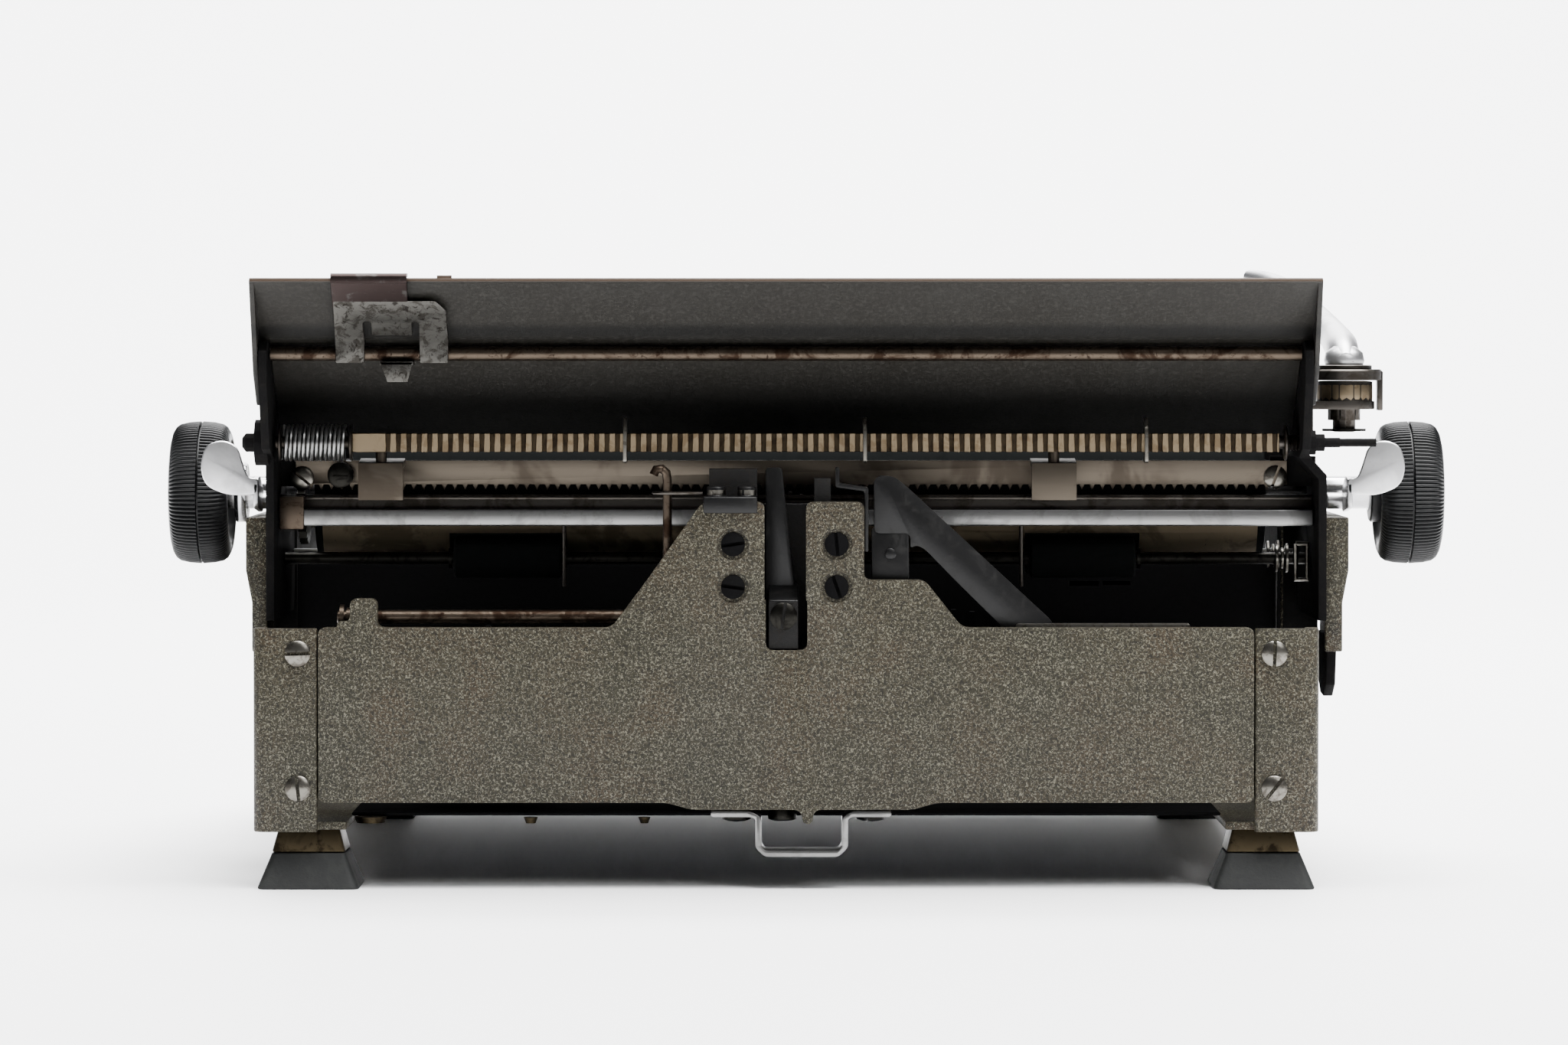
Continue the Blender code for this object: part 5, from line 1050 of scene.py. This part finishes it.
@dataclass
class Knob:
    """A ribbed platen knob with a parting line and a hollow inner face."""

    side: int
    ends: tuple
    radius: float = 17.8
    ribs: int = 104
    rib_depth: float = 0.45
    steps: int = 624

    def profile(self) -> list:
        """The rings of the knob, each with the share of the ribs' depth there.

        Returns:
            For each ring its place along the axis, its radius and the share.
        """
        w = self.ends[1] - self.ends[0]
        r = self.radius
        return [
            (3.2, 6.0, 0), (3.0, 11.6, 0), (0.5, 12.6, 0), (0.1, 13.4, 0), (0.3, 14.6, 0), (0.6, 15.3, 0.4),
            (1.2, 16.4, 1), (2.2, 17.1, 1), (4.4, r - 0.2, 1), (w * 0.5 - 0.3, r, 1),
            (w * 0.5 - 0.15, r - 1.3, 0), (w * 0.5 + 0.15, r - 1.3, 0), (w * 0.5 + 0.3, r, 1),
            (w - 4.4, r - 0.2, 1), (w - 2.2, 17.1, 1), (w - 1.2, 16.4, 1), (w - 0.5, 15.2, 0.4),
            (w - 0.1, 13.6, 0), (w - 0.5, 12.6, 0), (w - 0.8, 5.0, 0),
        ]

    def build(self) -> None:
        """Makes the knob, with its outer half's ribs half a rib further round."""
        made = bmesh.new()
        rings = []
        for along, radius, share in self.profile():
            offset = 0 if along < (self.ends[1] - self.ends[0]) / 2 else 0.5
            x = self.side * (self.ends[0] + along)
            ring = []
            for i in range(self.steps):
                turn = TURN * i / self.steps
                wave = abs(math.sin((turn * self.ribs / TURN + offset) * math.pi))
                reach = radius - share * self.rib_depth * (1 - wave)
                place = (PLATEN[0] + reach * math.sin(turn), PLATEN[1] + reach * math.cos(turn))
                ring.append(made.verts.new(Axis.X.place(*place, x)))
            rings.append(ring)
        for first, second in zip(rings, rings[1:]):
            for i in range(self.steps):
                made.faces.new((first[i - 1], first[i], second[i], second[i - 1]))
        for ring in (rings[0], rings[-1]):
            made.faces.new(ring)
        name = "left" if self.side > 0 else "right"
        Part().take(made).stand_in(f"{name}_platen_knob", Finish.BAKELITE, 42)


@dataclass
class Platen:
    """The platen, its shaft, ratchet and knobs."""

    teeth: int = 30

    def build(self) -> None:
        """Makes the turning parts."""
        roller = Part().turned(Axis.X, PLATEN, barrel(-117, 119, 16, 0.8, 0.4), 96)
        roller.stand_in("platen", Finish.ROLLER)
        shaft = [(-151, 3.6), (-150.5, 4.1), (-137.7, 4.1), *barrel(-137.7, -134.8, 7.5, 0.3, 0.4),
                 (-134.8, 4.1), (145.7, 4.1), (145.7, 4.4), (146.0, 4.4), (150.5, 4.4)]
        Part().turned(Axis.X, PLATEN, shaft, 48).stand_in("platen_shaft", Finish.CHROME)
        gear = []
        for i in range(self.teeth):
            turn = i * 360 / self.teeth
            gear += arc(PLATEN, 13.0, turn, turn, 1)[:1] + arc(PLATEN, 11.8, turn + 8, turn + 8, 1)[:1]
        Part().prism(Axis.X, gear, (-121.5, -119.5)).piece("platen_ratchet", Finish.DARK, "platen_roller")
        hub = Part().turned(Axis.X, PLATEN, [(146.0, 4.2), (146.0, 7.0), (146.4, 7.4), (151.2, 7.4)], 48)
        hub.piece("left_knob_hub", Finish.BAKELITE, "platen_roller")
        Knob(-1, (138.6, 153.6)).build()
        Knob(1, (147.8, 163.7)).build()


@dataclass
class FeedRollers:
    """The rubber feed rollers under the platen and the pan that they stand in."""

    rollers: tuple = ((-82.4, -55.7), (60.5, 86.6))
    collars: tuple = ((121.4, 3.4), (122.8, 2.6), (123.9, 3.6))
    height: float = 78.4

    def build(self) -> None:
        """Makes both shafts of rollers, the bracket that holds the rear one and the pan."""
        for name, y in (("rear", 48.0), ("front", 76.0)):
            axis = (y, self.height)
            rubber = Part()
            shaft = Part().turned(Axis.X, axis, barrel(-124.6, 129.6, 1.5, 0.3, 0.3), 24)
            for low, high in self.rollers:
                rubber.turned(Axis.X, axis, barrel(low, high, 5, 0.6, 0.5), 40)
                for start, end in ((low - 1.3, low - 0.5), (high + 0.5, high + 1.3)):
                    shaft.turned(Axis.X, axis, [(start, 2.6), (end, 2.6)], 24)
            rubber.piece(f"{name}_feed_rubber", Finish.ROLLER, f"{name}_feed")
            shaft.piece(f"{name}_feed_dressed", Finish.DARK, f"{name}_feed", f"{name}_feed_rollers")
            collars = Part()
            for low, radius in self.collars:
                collars.turned(Axis.X, axis, barrel(low, low + 0.7, radius, 0.2, 0.1))
            collars.piece(f"{name}_feed_collars", Finish.NICKEL, f"{name}_feed")
        ring = [(126.4, 82.0), (126.4, 73.2), (129.2, 73.2), (129.2, 82.0), (126.4, 82.0)]
        Part().wire([(x, 45.2, z) for x, z in ring], 0.7).piece("feed_bracket", Finish.NICKEL, "carriage")
        dress("paper_pan", Finish.PAN, 0.2, 1)


@dataclass
class TabRack:
    """The square-toothed rack with its shaft, stops and the coil spring that holds it up."""

    axis: tuple = (20.0, 107.5)
    pitch: float = 2.54
    share: float = 0.6
    block: tuple = (-105.6, -97.4)
    end: float = 120.1
    stops: tuple = (-39.2, 19.2, 87.7)
    collars: tuple = (-123.6, -106.4, 121.3)
    coil: tuple = (-122.3, -106.9)
    coil_radius: float = 4.15

    def bar(self) -> Part:
        """The end block and the row of teeth.

        Returns:
            The part.
        """
        y, z = self.axis
        height = (z - 2.3, z + 2.3)
        made = Part().block(self.block, (y - 2, y + 2), height)
        start = self.block[1] + self.pitch * (1 - self.share)
        for i in range(int((self.end - start) / self.pitch) + 1):
            low = start + i * self.pitch
            made.block((low, min(low + self.pitch * self.share, self.end)), (y - 2, y - 1.1), height)
        return made.bevel(0.15, 1)

    def build(self) -> None:
        """Makes the rack, stops, shaft and spring."""
        y, z = self.axis
        # The core shows between the teeth; its darker brass is painted shade in the notches.
        core = Part().block((self.block[1] - 1, self.end - 0.1), (y - 1.3, y + 1.9), (z - 2.2, z + 2.2))
        core.bevel(0.1, 1).piece("tab_rack_core", Finish.NOTCH, "tab_gear")
        self.bar().stand_in("tab_rack", Finish.BRASS)
        shaft = Part().turned(Axis.X, self.axis, [(-124.6, 1.3), (-124.3, 1.6), (-105.0, 1.6)], 24)
        shaft.turned(Axis.X, self.axis, [(119.5, 1.6), (129.3, 1.6), (129.6, 1.3)], 24)
        for low in self.collars:
            shaft.turned(Axis.X, self.axis, barrel(low, low + 0.8, 4.4, 0.4, 0.2))
        shaft.turned(Axis.X, self.axis, [(121.6 + 0.35 * i, 2.0 - 0.35 * (i % 2)) for i in range(20)], 20)
        shaft.piece("tab_rack_shaft", Finish.STEEL, "tab_gear")
        stop = [(-3.2, -4.9), (2.6, -4.9), (2.6, 6.2), (-1.2, 6.2), (-3.2, 3.4)]
        stops = Part()
        for x in self.stops:
            stops.prism(Axis.X, [(y + u, z + v) for u, v in stop], (x - 0.465, x + 0.465), 0.8)
        stops.bevel(0.12, 1).piece("tab_stops", Finish.NICKEL, "tab_gear")
        route = [(self.coil[0] - 0.7, y, z - self.coil_radius), *self.spiral(14.5, 20),
                 (self.coil[1] + 0.9, y, z - self.coil_radius)]
        Part().wire(route, 0.42).stand_in("tab_rack_spring", Finish.RAIL)

    def spiral(self, turns: float, steps: int) -> list:
        """The coil's route.

        Args:
            turns: How many turns it has.
            steps: Points in each turn.

        Returns:
            The points.
        """
        count = int(turns * steps)
        low, high = self.coil
        made = []
        for i in range(count + 1):
            u, v = (self.coil_radius * wave(TURN * turns * i / count) for wave in (math.sin, math.cos))
            made.append((low + (high - low) * i / count, self.axis[0] + u, self.axis[1] + v))
        return made


@dataclass
class MarginStop:
    """The sheet-metal stop that hooks over the paper table and slides on the margin rod."""

    slope: float = 1.05
    bend: float = 132.2
    sheet: tuple = (4.75, 5.95)
    tab: tuple = (-108.8, -90.6)
    rod: tuple = (8, 129.2)

    def lean(self, part: Part) -> Part:
        """Bends the flat part back along the paper table above the fold.

        Args:
            part: The flat part.

        Returns:
            The same part, bent.
        """
        geometry = part.bm.verts[:] + part.bm.edges[:] + part.bm.faces[:]
        bmesh.ops.bisect_plane(part.bm, geom=geometry, plane_co=(0, 0, self.bend), plane_no=(0, 0, 1))
        for vert in part.bm.verts:
            vert.co.y -= max(0.0, vert.co.z - self.bend) * self.slope
        return part

    def build(self) -> None:
        """Makes the stop and the rod that it slides on."""
        Part().turned(Axis.X, self.rod, [(-124.6, 1.75), (124.6, 1.75)]).stand_in("margin_rod", Finish.RUST)
        outline = [(-108.7, 141.8), (-84, 141.8), (-81.5, 139.4), (-81.5, 126.9), (-88.4, 126.9),
                   (-88.4, 136.8), (-90, 136.8), (-90, 133.5), (-99.8, 133.5), (-99.8, 136.8),
                   (-101.7, 136.8), (-101.7, 126.9), (-108.7, 126.9)]
        plate = self.lean(Part().prism(Axis.Y, outline, self.sheet, 0.5, 2)).bevel(0.2, 2, 40)
        tongue = [(-98, 127.2), (-90, 127.2), (-91.3, 122.3), (-96.2, 122.3)]
        pointer = Part().prism(Axis.Y, tongue, (4.9, 6.0))
        pointer.block((-98, -90), (4.9, 11.5), (126.4, 127.3)).bevel(0.15)
        plate.join(pointer).block((-98, -90), (10.3, 11.5), (126.4, 133.0))
        plate.stand_in("margin_stop", Finish.PITTED)
        low, high = self.tab
        flat = [(low, 140), (high, 140), (high, 146.4), (low, 146.4)]
        tab = self.lean(Part().prism(Axis.Y, flat, self.sheet))
        hook = [(-10.5, 146.0), (-9.3, 146.0), (-9.1, 147.5), (-5.4, 147.5), (-5.4, 148.4), (-9.8, 148.4),
                (-10.5, 147.7)]
        tab.bevel(0.2).prism(Axis.X, hook, self.tab, 0.3, 2)
        tab.piece("margin_stop_tab", Finish.PLUM, "margin_stop")


@dataclass
class ReturnLever:
    """The line-space lever with its disc, plate, drum, nut and bracket on the left end plate."""

    centre: tuple = (137.3, 35.0)

    def build(self) -> None:
        """Makes the lever assembly."""
        x, y = self.centre
        drum = [(116.9, 5.9), (117.2, 6.9), (118.4, 7.0), (121.4, 7.0), (122.4, 6.6), (122.5, 5.0)]
        Part().turned(Axis.Z, self.centre, drum, 40).piece("return_lever_drum", Finish.BRASS, "return_lever")
        plate = [(122.6, 9.0), (122.8, 9.25), (124.9, 9.25), (125.3, 8.9)]
        disc = Part().turned(Axis.Z, self.centre, plate, 56)
        disc.turned(Axis.Z, self.centre, [(125.2, 6.8), (126.2, 6.8), (126.4, 6.5)], 48)
        finger = Part().block((x + 6.5, x + 9.4), (y - 2, y + 2), (122.9, 124.9))
        finger.block((x + 8.0, x + 9.4), (y - 2, y + 2), (115.2, 124.9))
        disc.join(finger.bevel()).piece("return_lever_plate", Finish.STEEL, "return_lever")
        route = [(x, 31, 127.4), (x, 36, 129.4), (x, 47, 131.6), (136.2, 62, 134.9), (133, 82, 140),
                 (128.5, 100, 145.5), (123.8, 113, 148.2), (120.1, 119.2, 149.0)]
        arm = Part().wire(route, 4.4, 4, (0.5, 1, 0.95, 0.8, 0.72, 0.66, 0.6, 0.4))
        arm.turned(Axis.Z, self.centre, [(125.8, 4.5), (127.4, 5.0), (129.4, 4.6), (131.0, 2.6)], 40)
        arm.stand_in("return_lever", Finish.SATIN, 60)
        nut = Part().prism(Axis.Z, arc(self.centre, 4.0, 10, 370, 6)[:-1], (112.9, 115.6)).bevel()
        nut.turned(Axis.Z, self.centre, [(109.9 + 0.3 * i, 2.6 - 0.3 * (i % 2)) for i in range(11)], 24)
        nut.turned(Axis.Z, self.centre, [(110.1, 5.4), (110.7, 5.4)])
        nut.piece("return_lever_nut", Finish.DARK, "carriage")
        dress("lever_bracket", Finish.STEEL, 0.4, 3)


@dataclass
class Carriage:
    """The sliding carriage's frame: end plates, covers, rail, racks, paper table and levers."""

    reach: tuple = (-124.7, 129.7)
    table_half: float = 128.5
    inside: float = 124.97
    front: tuple = (86.4, 87.8)

    def build(self) -> None:
        """Makes the frame and what it carries."""
        self.table()
        self.ends()
        self.rails()
        dress("paper_bail", Finish.RAIL, 0.3)
        tyres = Part()
        for x in (-60, 60):
            tyres.turned(Axis.X, (79.5, 107), barrel(x - 5.6, x + 5.6, 5.04, 0.44, 0.4), 40)
        tyres.piece("paper_bail_tyres", Finish.RUBBER, "bail")
        for group in (Platen(), FeedRollers(), TabRack(), MarginStop(), ReturnLever()):
            group.build()

    def rails(self) -> None:
        """The rail with its web and lip, and the escapement rack with its screws and collar."""
        low, high = self.reach
        inner = (low + 0.1, high - 0.1)
        Part().block(self.reach, (32, 37), (86.8, 91.0)).bevel(0.5, 3).stand_in("carriage_rail", Finish.RAIL)
        web = Part().block(self.reach, (36.6, 39.5), (87.4, 94.4)).bevel()
        web.piece("rail_web", Finish.STEEL, "carriage")
        Part().block(inner, (35.9, 37.0), (93.2, 94.0)).bevel(0.2).piece("rail_lip", Finish.STEEL, "carriage")
        dress("escapement_rack", Finish.STRIP, 0.12, 1)
        heads = Screw(2.9, 0.6, 0.4, 0.7).heads(Axis.Y, ((-119.6, 98.4, 140), (120.9, 98.6, 70)), 40.8, -1)
        heads.piece("rack_screws", Finish.NICKEL, "carriage")
        collar = Part().turned(Axis.Y, (-110.0, 99.2), [(38.6, 2.6), (38.9, 3.2), (41.0, 3.2)])
        collar.carve(Part().block((-111.8, -108.2), (38, 39.3), (98.9, 99.5)))
        collar.piece("rack_collar", Finish.DARK, "carriage")
        block = Part().block((inner[0], -118.4), (31.4, 36.5), (85.9, 94.2)).bevel(0.5)
        block.piece("rail_end_block", Finish.RUST, "carriage")

    def table(self) -> None:
        """The bent paper table, whose lower panel stands between the end plates, with its flanges and hem."""
        half = self.table_half
        upper = [(-8, 146.4), (8, 132.6), (8.7, 133.3), (-7.3, 147.1)]
        lower = [(7.4, 132.9), (44, 106), (44.7, 106.7), (8.4, 133.4)]
        cheek = [(-8, 146.8), (8.5, 133.0), (24, 121.2), (22, 117.5), (14, 116.5), (4, 124)]
        tab = [(7.9, 132.7), (11, 130.5), (11.7, 131.2), (8.6, 133.4)]
        sheet = Part().prism(Axis.X, upper, (-half, half))
        sheet.prism(Axis.X, lower, (-self.inside, self.inside)).bevel(0.2, 1)
        for side in (-1, 1):
            sheet.join(Part().prism(Axis.X, cheek, span(side, half - 1.2, half), 1.2).bevel())
            sheet.prism(Axis.X, tab, span(side, 124.9, 127.4))
        hem = Part().turned(Axis.X, (-7.6, 146.7), barrel(0.1 - half, half - 0.1, 0.6, 0.1, 0.2), 12)
        hem.block((-83.5, -80.0), (-7.9, -6.4), (146.4, 147.9))
        sheet.join(hem).stand_in("paper_table", Finish.SHEET)

    def ends(self) -> None:
        """The end plates and what is fixed to them."""
        for side in ("left", "right"):
            dress(f"{side}_end_plate", Finish.PLATE, 0.3)
            dress(f"{side}_end_cover", Finish.PAINT, 0.35)
            dress(f"{side}_rack_clip", Finish.STRIP, 0.4, 3)
        left = [(126.6, 56), (135.4, 56), (135.4, 66), (132.2, 70), (132.2, 98), (126.6, 94)]
        right = [(-130.4, 56), (-124.4, 56), (-124.4, 94), (-130.4, 94)]
        edges = Part().prism(Axis.Y, left, self.front, 0.8).prism(Axis.Y, right, self.front, 0.8)
        edges.block((119.4, 126.5), self.front, (97, 112)).block((-126.5, -117.4), self.front, (97, 112))
        edges.bevel().piece("end_plate_edges", Finish.PLATE, "carriage")
        links = Part()
        for x in (58.2, -54.9):
            links.wire([(x, 43.4, 87), (x, 43.4, 71.5)], 0.5)
        links.piece("feed_links", Finish.STEEL, "carriage")
        dress("carriage_blade", Finish.PLATE, 0.4)
        self.release("left", 1, 138.4)
        self.release("right", -1, 130.1)

    def release(self, name: str, side: int, inner: float) -> None:
        """A carriage release lever with its rounded thumb paddle.

        Args:
            name: Its side in the node's name.
            side: Its side, 1 or -1.
            inner: Where its plate starts from the middle.
        """
        outer = inner + 1.3
        tip = outer + 13.2
        arm = [(37.4, 91.0), (52, 89.7), (54.8, 92.5), (52, 95.9), (44, 99.0), (37.4, 98.5)]
        paddle = [(inner, 94.3), (outer + 2, 94.2), (outer + 6.5, 94.3), (tip - 1.3, 96.5), (tip, 101.5),
                  (tip - 1.4, 106.6), (tip - 5.6, 108.0), (tip - 9.4, 106.4), (tip - 10.8, 101.6),
                  (outer + 1.2, 98.5), (inner, 98.5)]
        lever = Part().prism(Axis.X, arm, span(side, inner, outer), 1.6).bevel()
        thumb = Part().prism(Axis.Y, [(side * x, z) for x, z in paddle], (37.4, 38.6), 3.4, 6)
        stud = [(x, 2) for x in span(side, inner - 3.6, inner + 0.5)]
        lever.join(thumb.bevel(0.4, 3, 50)).turned(Axis.X, (52, 92.5), stud, 24)
        lever.stand_in(f"{name}_release_lever", Finish.SATIN)


# Keyboard and type


@dataclass
class Keyboard:
    """Four banks of round keys, the space bar and the side keys.

    A row gives its node, its body, the quarters of a key that it is set off by, the number of its first key,
    its y, the height of its tops, and its legends from the typist's left. A node's key caps reach cap_depth
    below their tops and cap_radius from their middles, and are drawn in to cap_share of that.
    """

    pitch: float = 19.0
    middle_key: int = 5
    letter: float = 6.4
    letter_depth: float = 0.03
    cap_depth: float = 2.9
    cap_radius: float = 7.5
    cap_share: float = 0.9
    rows: tuple = (
        ("lower_keys", "lower_bank", -2.5, 1, 263.0, 42.0, "ZXCVBNM,./"),
        ("home_keys", "home_bank", -0.5, 0, 244.0, 50.0, "ASDFGHJKL;'"),
        ("upper_keys", "upper_bank", 0.5, 0, 225.0, 58.0, "QWERTYUIOP-"),
        ("number_keys", "number_bank", 2.5, 0, 206.0, 66.0, "1234567890="),
    )

    def legend(self, text: str, place: tuple) -> Part:
        """A plain letter lying on a key, upright for the typist.

        Args:
            text: The letter.
            place: The middle of the key's top.

        Returns:
            The part.
        """
        font = bpy.data.curves.new("legend", "FONT")
        font.body = text
        font.size = self.letter
        font.align_x = font.align_y = "CENTER"
        font.extrude = self.letter_depth
        font.resolution_u = 3
        lying = Part(baked(bpy.data.objects.new("legend", font)))
        return lying.moved(Matrix.Translation(place) @ Matrix.Rotation(math.pi, 4, "Z"))

    def shrink(self, bank: Part, offset: float, y: float, top: float) -> None:
        """Draws a bank's key caps in, and down by 1 mm, inside the rings and discs that cover them.

        Args:
            bank: The copy of the bank's node.
            offset: How many keys lie between the machine's middle and a key numbered 0.
            y: The row's place.
            top: The height of its tops.
        """
        for vert in bank.bm.verts:
            middle = (round(vert.co.x / self.pitch - offset) + offset) * self.pitch
            aside = Vector((vert.co.x - middle, vert.co.y - y))
            if vert.co.z > top - self.cap_depth and aside.length < self.cap_radius:
                aside *= self.cap_share
                vert.co = (middle + aside.x, y + aside.y, min(vert.co.z, top - 1))

    def build(self) -> None:
        """Makes every key."""
        for node, body, quarters, first, y, top, legends in self.rows:
            offset = quarters / 4 - self.middle_key
            bank = solid(node)
            self.shrink(bank, offset, y, top)
            bank.stand_in(node, Finish.STEEL)
            ring = [(top - 2.8, 6.4), (top - 2.6, 7.3), (top - 0.3, 7.3), (top, 6.9), (top - 0.05, 6.2),
                    (top - 0.5, 6.0)]
            disc = [(top - 0.7, 6.25), (top - 0.35, 6.1), (top - 0.15, 4.0)]
            rings, discs, letters = Part(), Part(), Part()
            for key, text in enumerate(reversed(legends), first):
                x = (key + offset) * self.pitch
                rings.turned(Axis.Z, (x, y), ring)
                discs.turned(Axis.Z, (x, y), disc)
                letters.join(self.legend(text, (x, y, top - 0.1)))
            rings.piece(f"{node}_rings", Finish.NICKEL, body)
            discs.piece(f"{node}_discs", Finish.GLASS, body)
            letters.piece(f"{node}_legends", Finish.LEGEND, body)
        for node in ("space_bar", "shift_keys", "backspace_key", "tabulator_key"):
            dress(node, Finish.BAKELITE, 0.3)
        dress("key_fulcrum_rod", Finish.STEEL, 0.2, 1)


@dataclass
class TypeWorks:
    """The type basket, ribbon, spools, hood, escapement wheel and mainspring drum."""

    slots: tuple = (((72.5, 80.0), (69.7, 71.0)), ((81.0, 88.0), (69.9, 71.0)))
    link_pitch: float = 4.75
    links: int = 47

    def screen(self) -> None:
        """The near-black plate with its comb of links behind the carriage, and the floor below: painted shade
        over the works, which lie in shadow.
        """
        plate = Part().block((-125.2, 125.2), (93.4, 94.4), (17.9, 79.0)).bevel(0.2, 1)
        for x, z in self.slots:
            plate.carve(Part().block(x, (90, 97), z))
        for i in range(self.links):
            x = (i - self.links // 2) * self.link_pitch
            plate.block((x - 0.6, x + 0.6), (88.8, 93.0), (20, 57 + 9 * math.cos(x / 60)))
        plate.block((-118, 118), (89.6, 91.6), (30, 33))
        plate.join(Part().block((-105.7, 105.7), (15.3, 94.7), (16.8, 17.6)).bevel(0.2, 1))
        plate.piece("works_shade_screen", Finish.SOOT)

    def build(self) -> None:
        """Makes the works."""
        self.screen()
        dress("type_basket", Finish.STEEL, 0.1, 1)
        dress("ribbon", Finish.CLOTH, 0.1, 1)
        for side in ("left", "right"):
            dress(f"{side}_ribbon_spool", Finish.STEEL, 0.15, 1)
        dress("ribbon_hood", Finish.PAINT, 0.5, 3)
        dress("escapement_wheel", Finish.STEEL, 0.15, 1)
        drum = [(20, 13.6), (20.6, 14.8), (21.4, 15), (34.6, 15), (35.4, 14.8), (36, 13.6)]
        Part().turned(Axis.Y, (-70.0, 38.0), drum, 64).stand_in("mainspring_drum", Finish.STEEL)


# The studio


def added(name: str, data: bpy.types.ID) -> bpy.types.Object:
    """A new object in the scene.

    Args:
        name: Its name.
        data: Its mesh, light or camera.

    Returns:
        The object.
    """
    obj = bpy.data.objects.new(name, data)
    bpy.context.scene.collection.objects.link(obj)
    return obj


@dataclass
class Studio:
    """The pale floor and sweep, soft lights and camera, in metres in the model's frame."""

    eye: tuple = (-0.00555, -1.6392, 0.131)
    tilt: float = 88.38
    lens: float = 143.2
    sky: tuple = (0.95, 0.95, 0.96, 1)
    sky_strength: float = 0.12
    bend: float = 1.4
    straight: float = 1.6
    half: float = 4.0

    def build(self) -> None:
        """Makes the surroundings."""
        self.floor()
        self.light("top", (0.45, -0.30, 2.3), (0.0, 0.05, 0.0), 2.2, 360)
        self.light("front", (1.3, -2.0, 1.6), (0.0, 0.0, 0.05), 1.0, 22)
        self.light("backdrop", (0.0, 1.3, 2.6), (0.0, 3.0, 0.9), 2.4, 390)
        world = bpy.data.worlds.new("studio")
        world.use_nodes = True
        sky = world.node_tree.nodes["Background"].inputs
        sky["Color"].default_value = self.sky
        sky["Strength"].default_value = self.sky_strength
        bpy.context.scene.world = world
        camera = added("camera", bpy.data.cameras.new("camera"))
        camera.data.lens = self.lens
        camera.data.sensor_width = 36
        camera.data.clip_end = 20
        camera.location = self.eye
        camera.rotation_euler = (math.radians(self.tilt), 0, 0)
        bpy.context.scene.camera = camera

    def floor(self) -> None:
        """Makes the floor with a sweep that curves up behind."""
        bend = arc((self.straight, self.bend), self.bend, -90, 0, 24)
        made = bmesh.new()
        rows = [[made.verts.new((x, y, z)) for x in (-self.half, self.half)]
                for y, z in [(-3.0, 0.0), *bend, (self.straight + self.bend, self.half)]]
        for low, high in zip(rows, rows[1:]):
            made.faces.new((low[0], low[1], high[1], high[0]))
        mesh = bpy.data.meshes.new("sweep")
        made.to_mesh(mesh)
        made.free()
        mesh.shade_smooth()
        g = Graph("studio_paper")
        near = g.between(g.height("Y"), -1.25, -0.55) * g.between(g.height("X").size(), 0.75, 1.5, 1, 0)
        mesh.materials.append(g.close(g.blend(near, (0.10, 0.10, 0.11), (0.90, 0.90, 0.905)), 0.6))
        added("sweep", mesh)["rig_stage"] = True

    def light(self, name: str, place: tuple, aim: tuple, size: float, power: float) -> None:
        """Adds a soft square light.

        Args:
            name: Its name.
            place: Where it stands.
            aim: The point that it looks at.
            size: The length of its sides.
            power: Its power in watts.
        """
        lamp = added(name, bpy.data.lights.new(name, "AREA"))
        lamp.data.size = size
        lamp.data.energy = power
        lamp.location = place
        lamp.rotation_euler = (Vector(aim) - Vector(place)).to_track_quat("-Z", "Y").to_euler()


def write_sizes() -> None:
    """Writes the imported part's box and the dressed part's box."""
    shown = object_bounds()
    for name, (low, high) in (("cad", CAD_BOX), ("visual", shown)):
        LOG.info("%s box: %s to %s mm", name, [round(v / MM, 1) for v in low],
                 [round(v / MM, 1) for v in high])


def main() -> None:
    """Builds the dressed machine and its studio."""
    logging.basicConfig(level=logging.INFO, format="%(name)s: %(message)s")
    for group in (RearCasting(), SidePanel(-1), SidePanel(1), TowerFittings(), LatchLoop(), Pan(), Carriage(),
                  Keyboard(), TypeWorks(), Studio()):
        group.build()
    write_sizes()


if __name__ == "__main__":
    main()
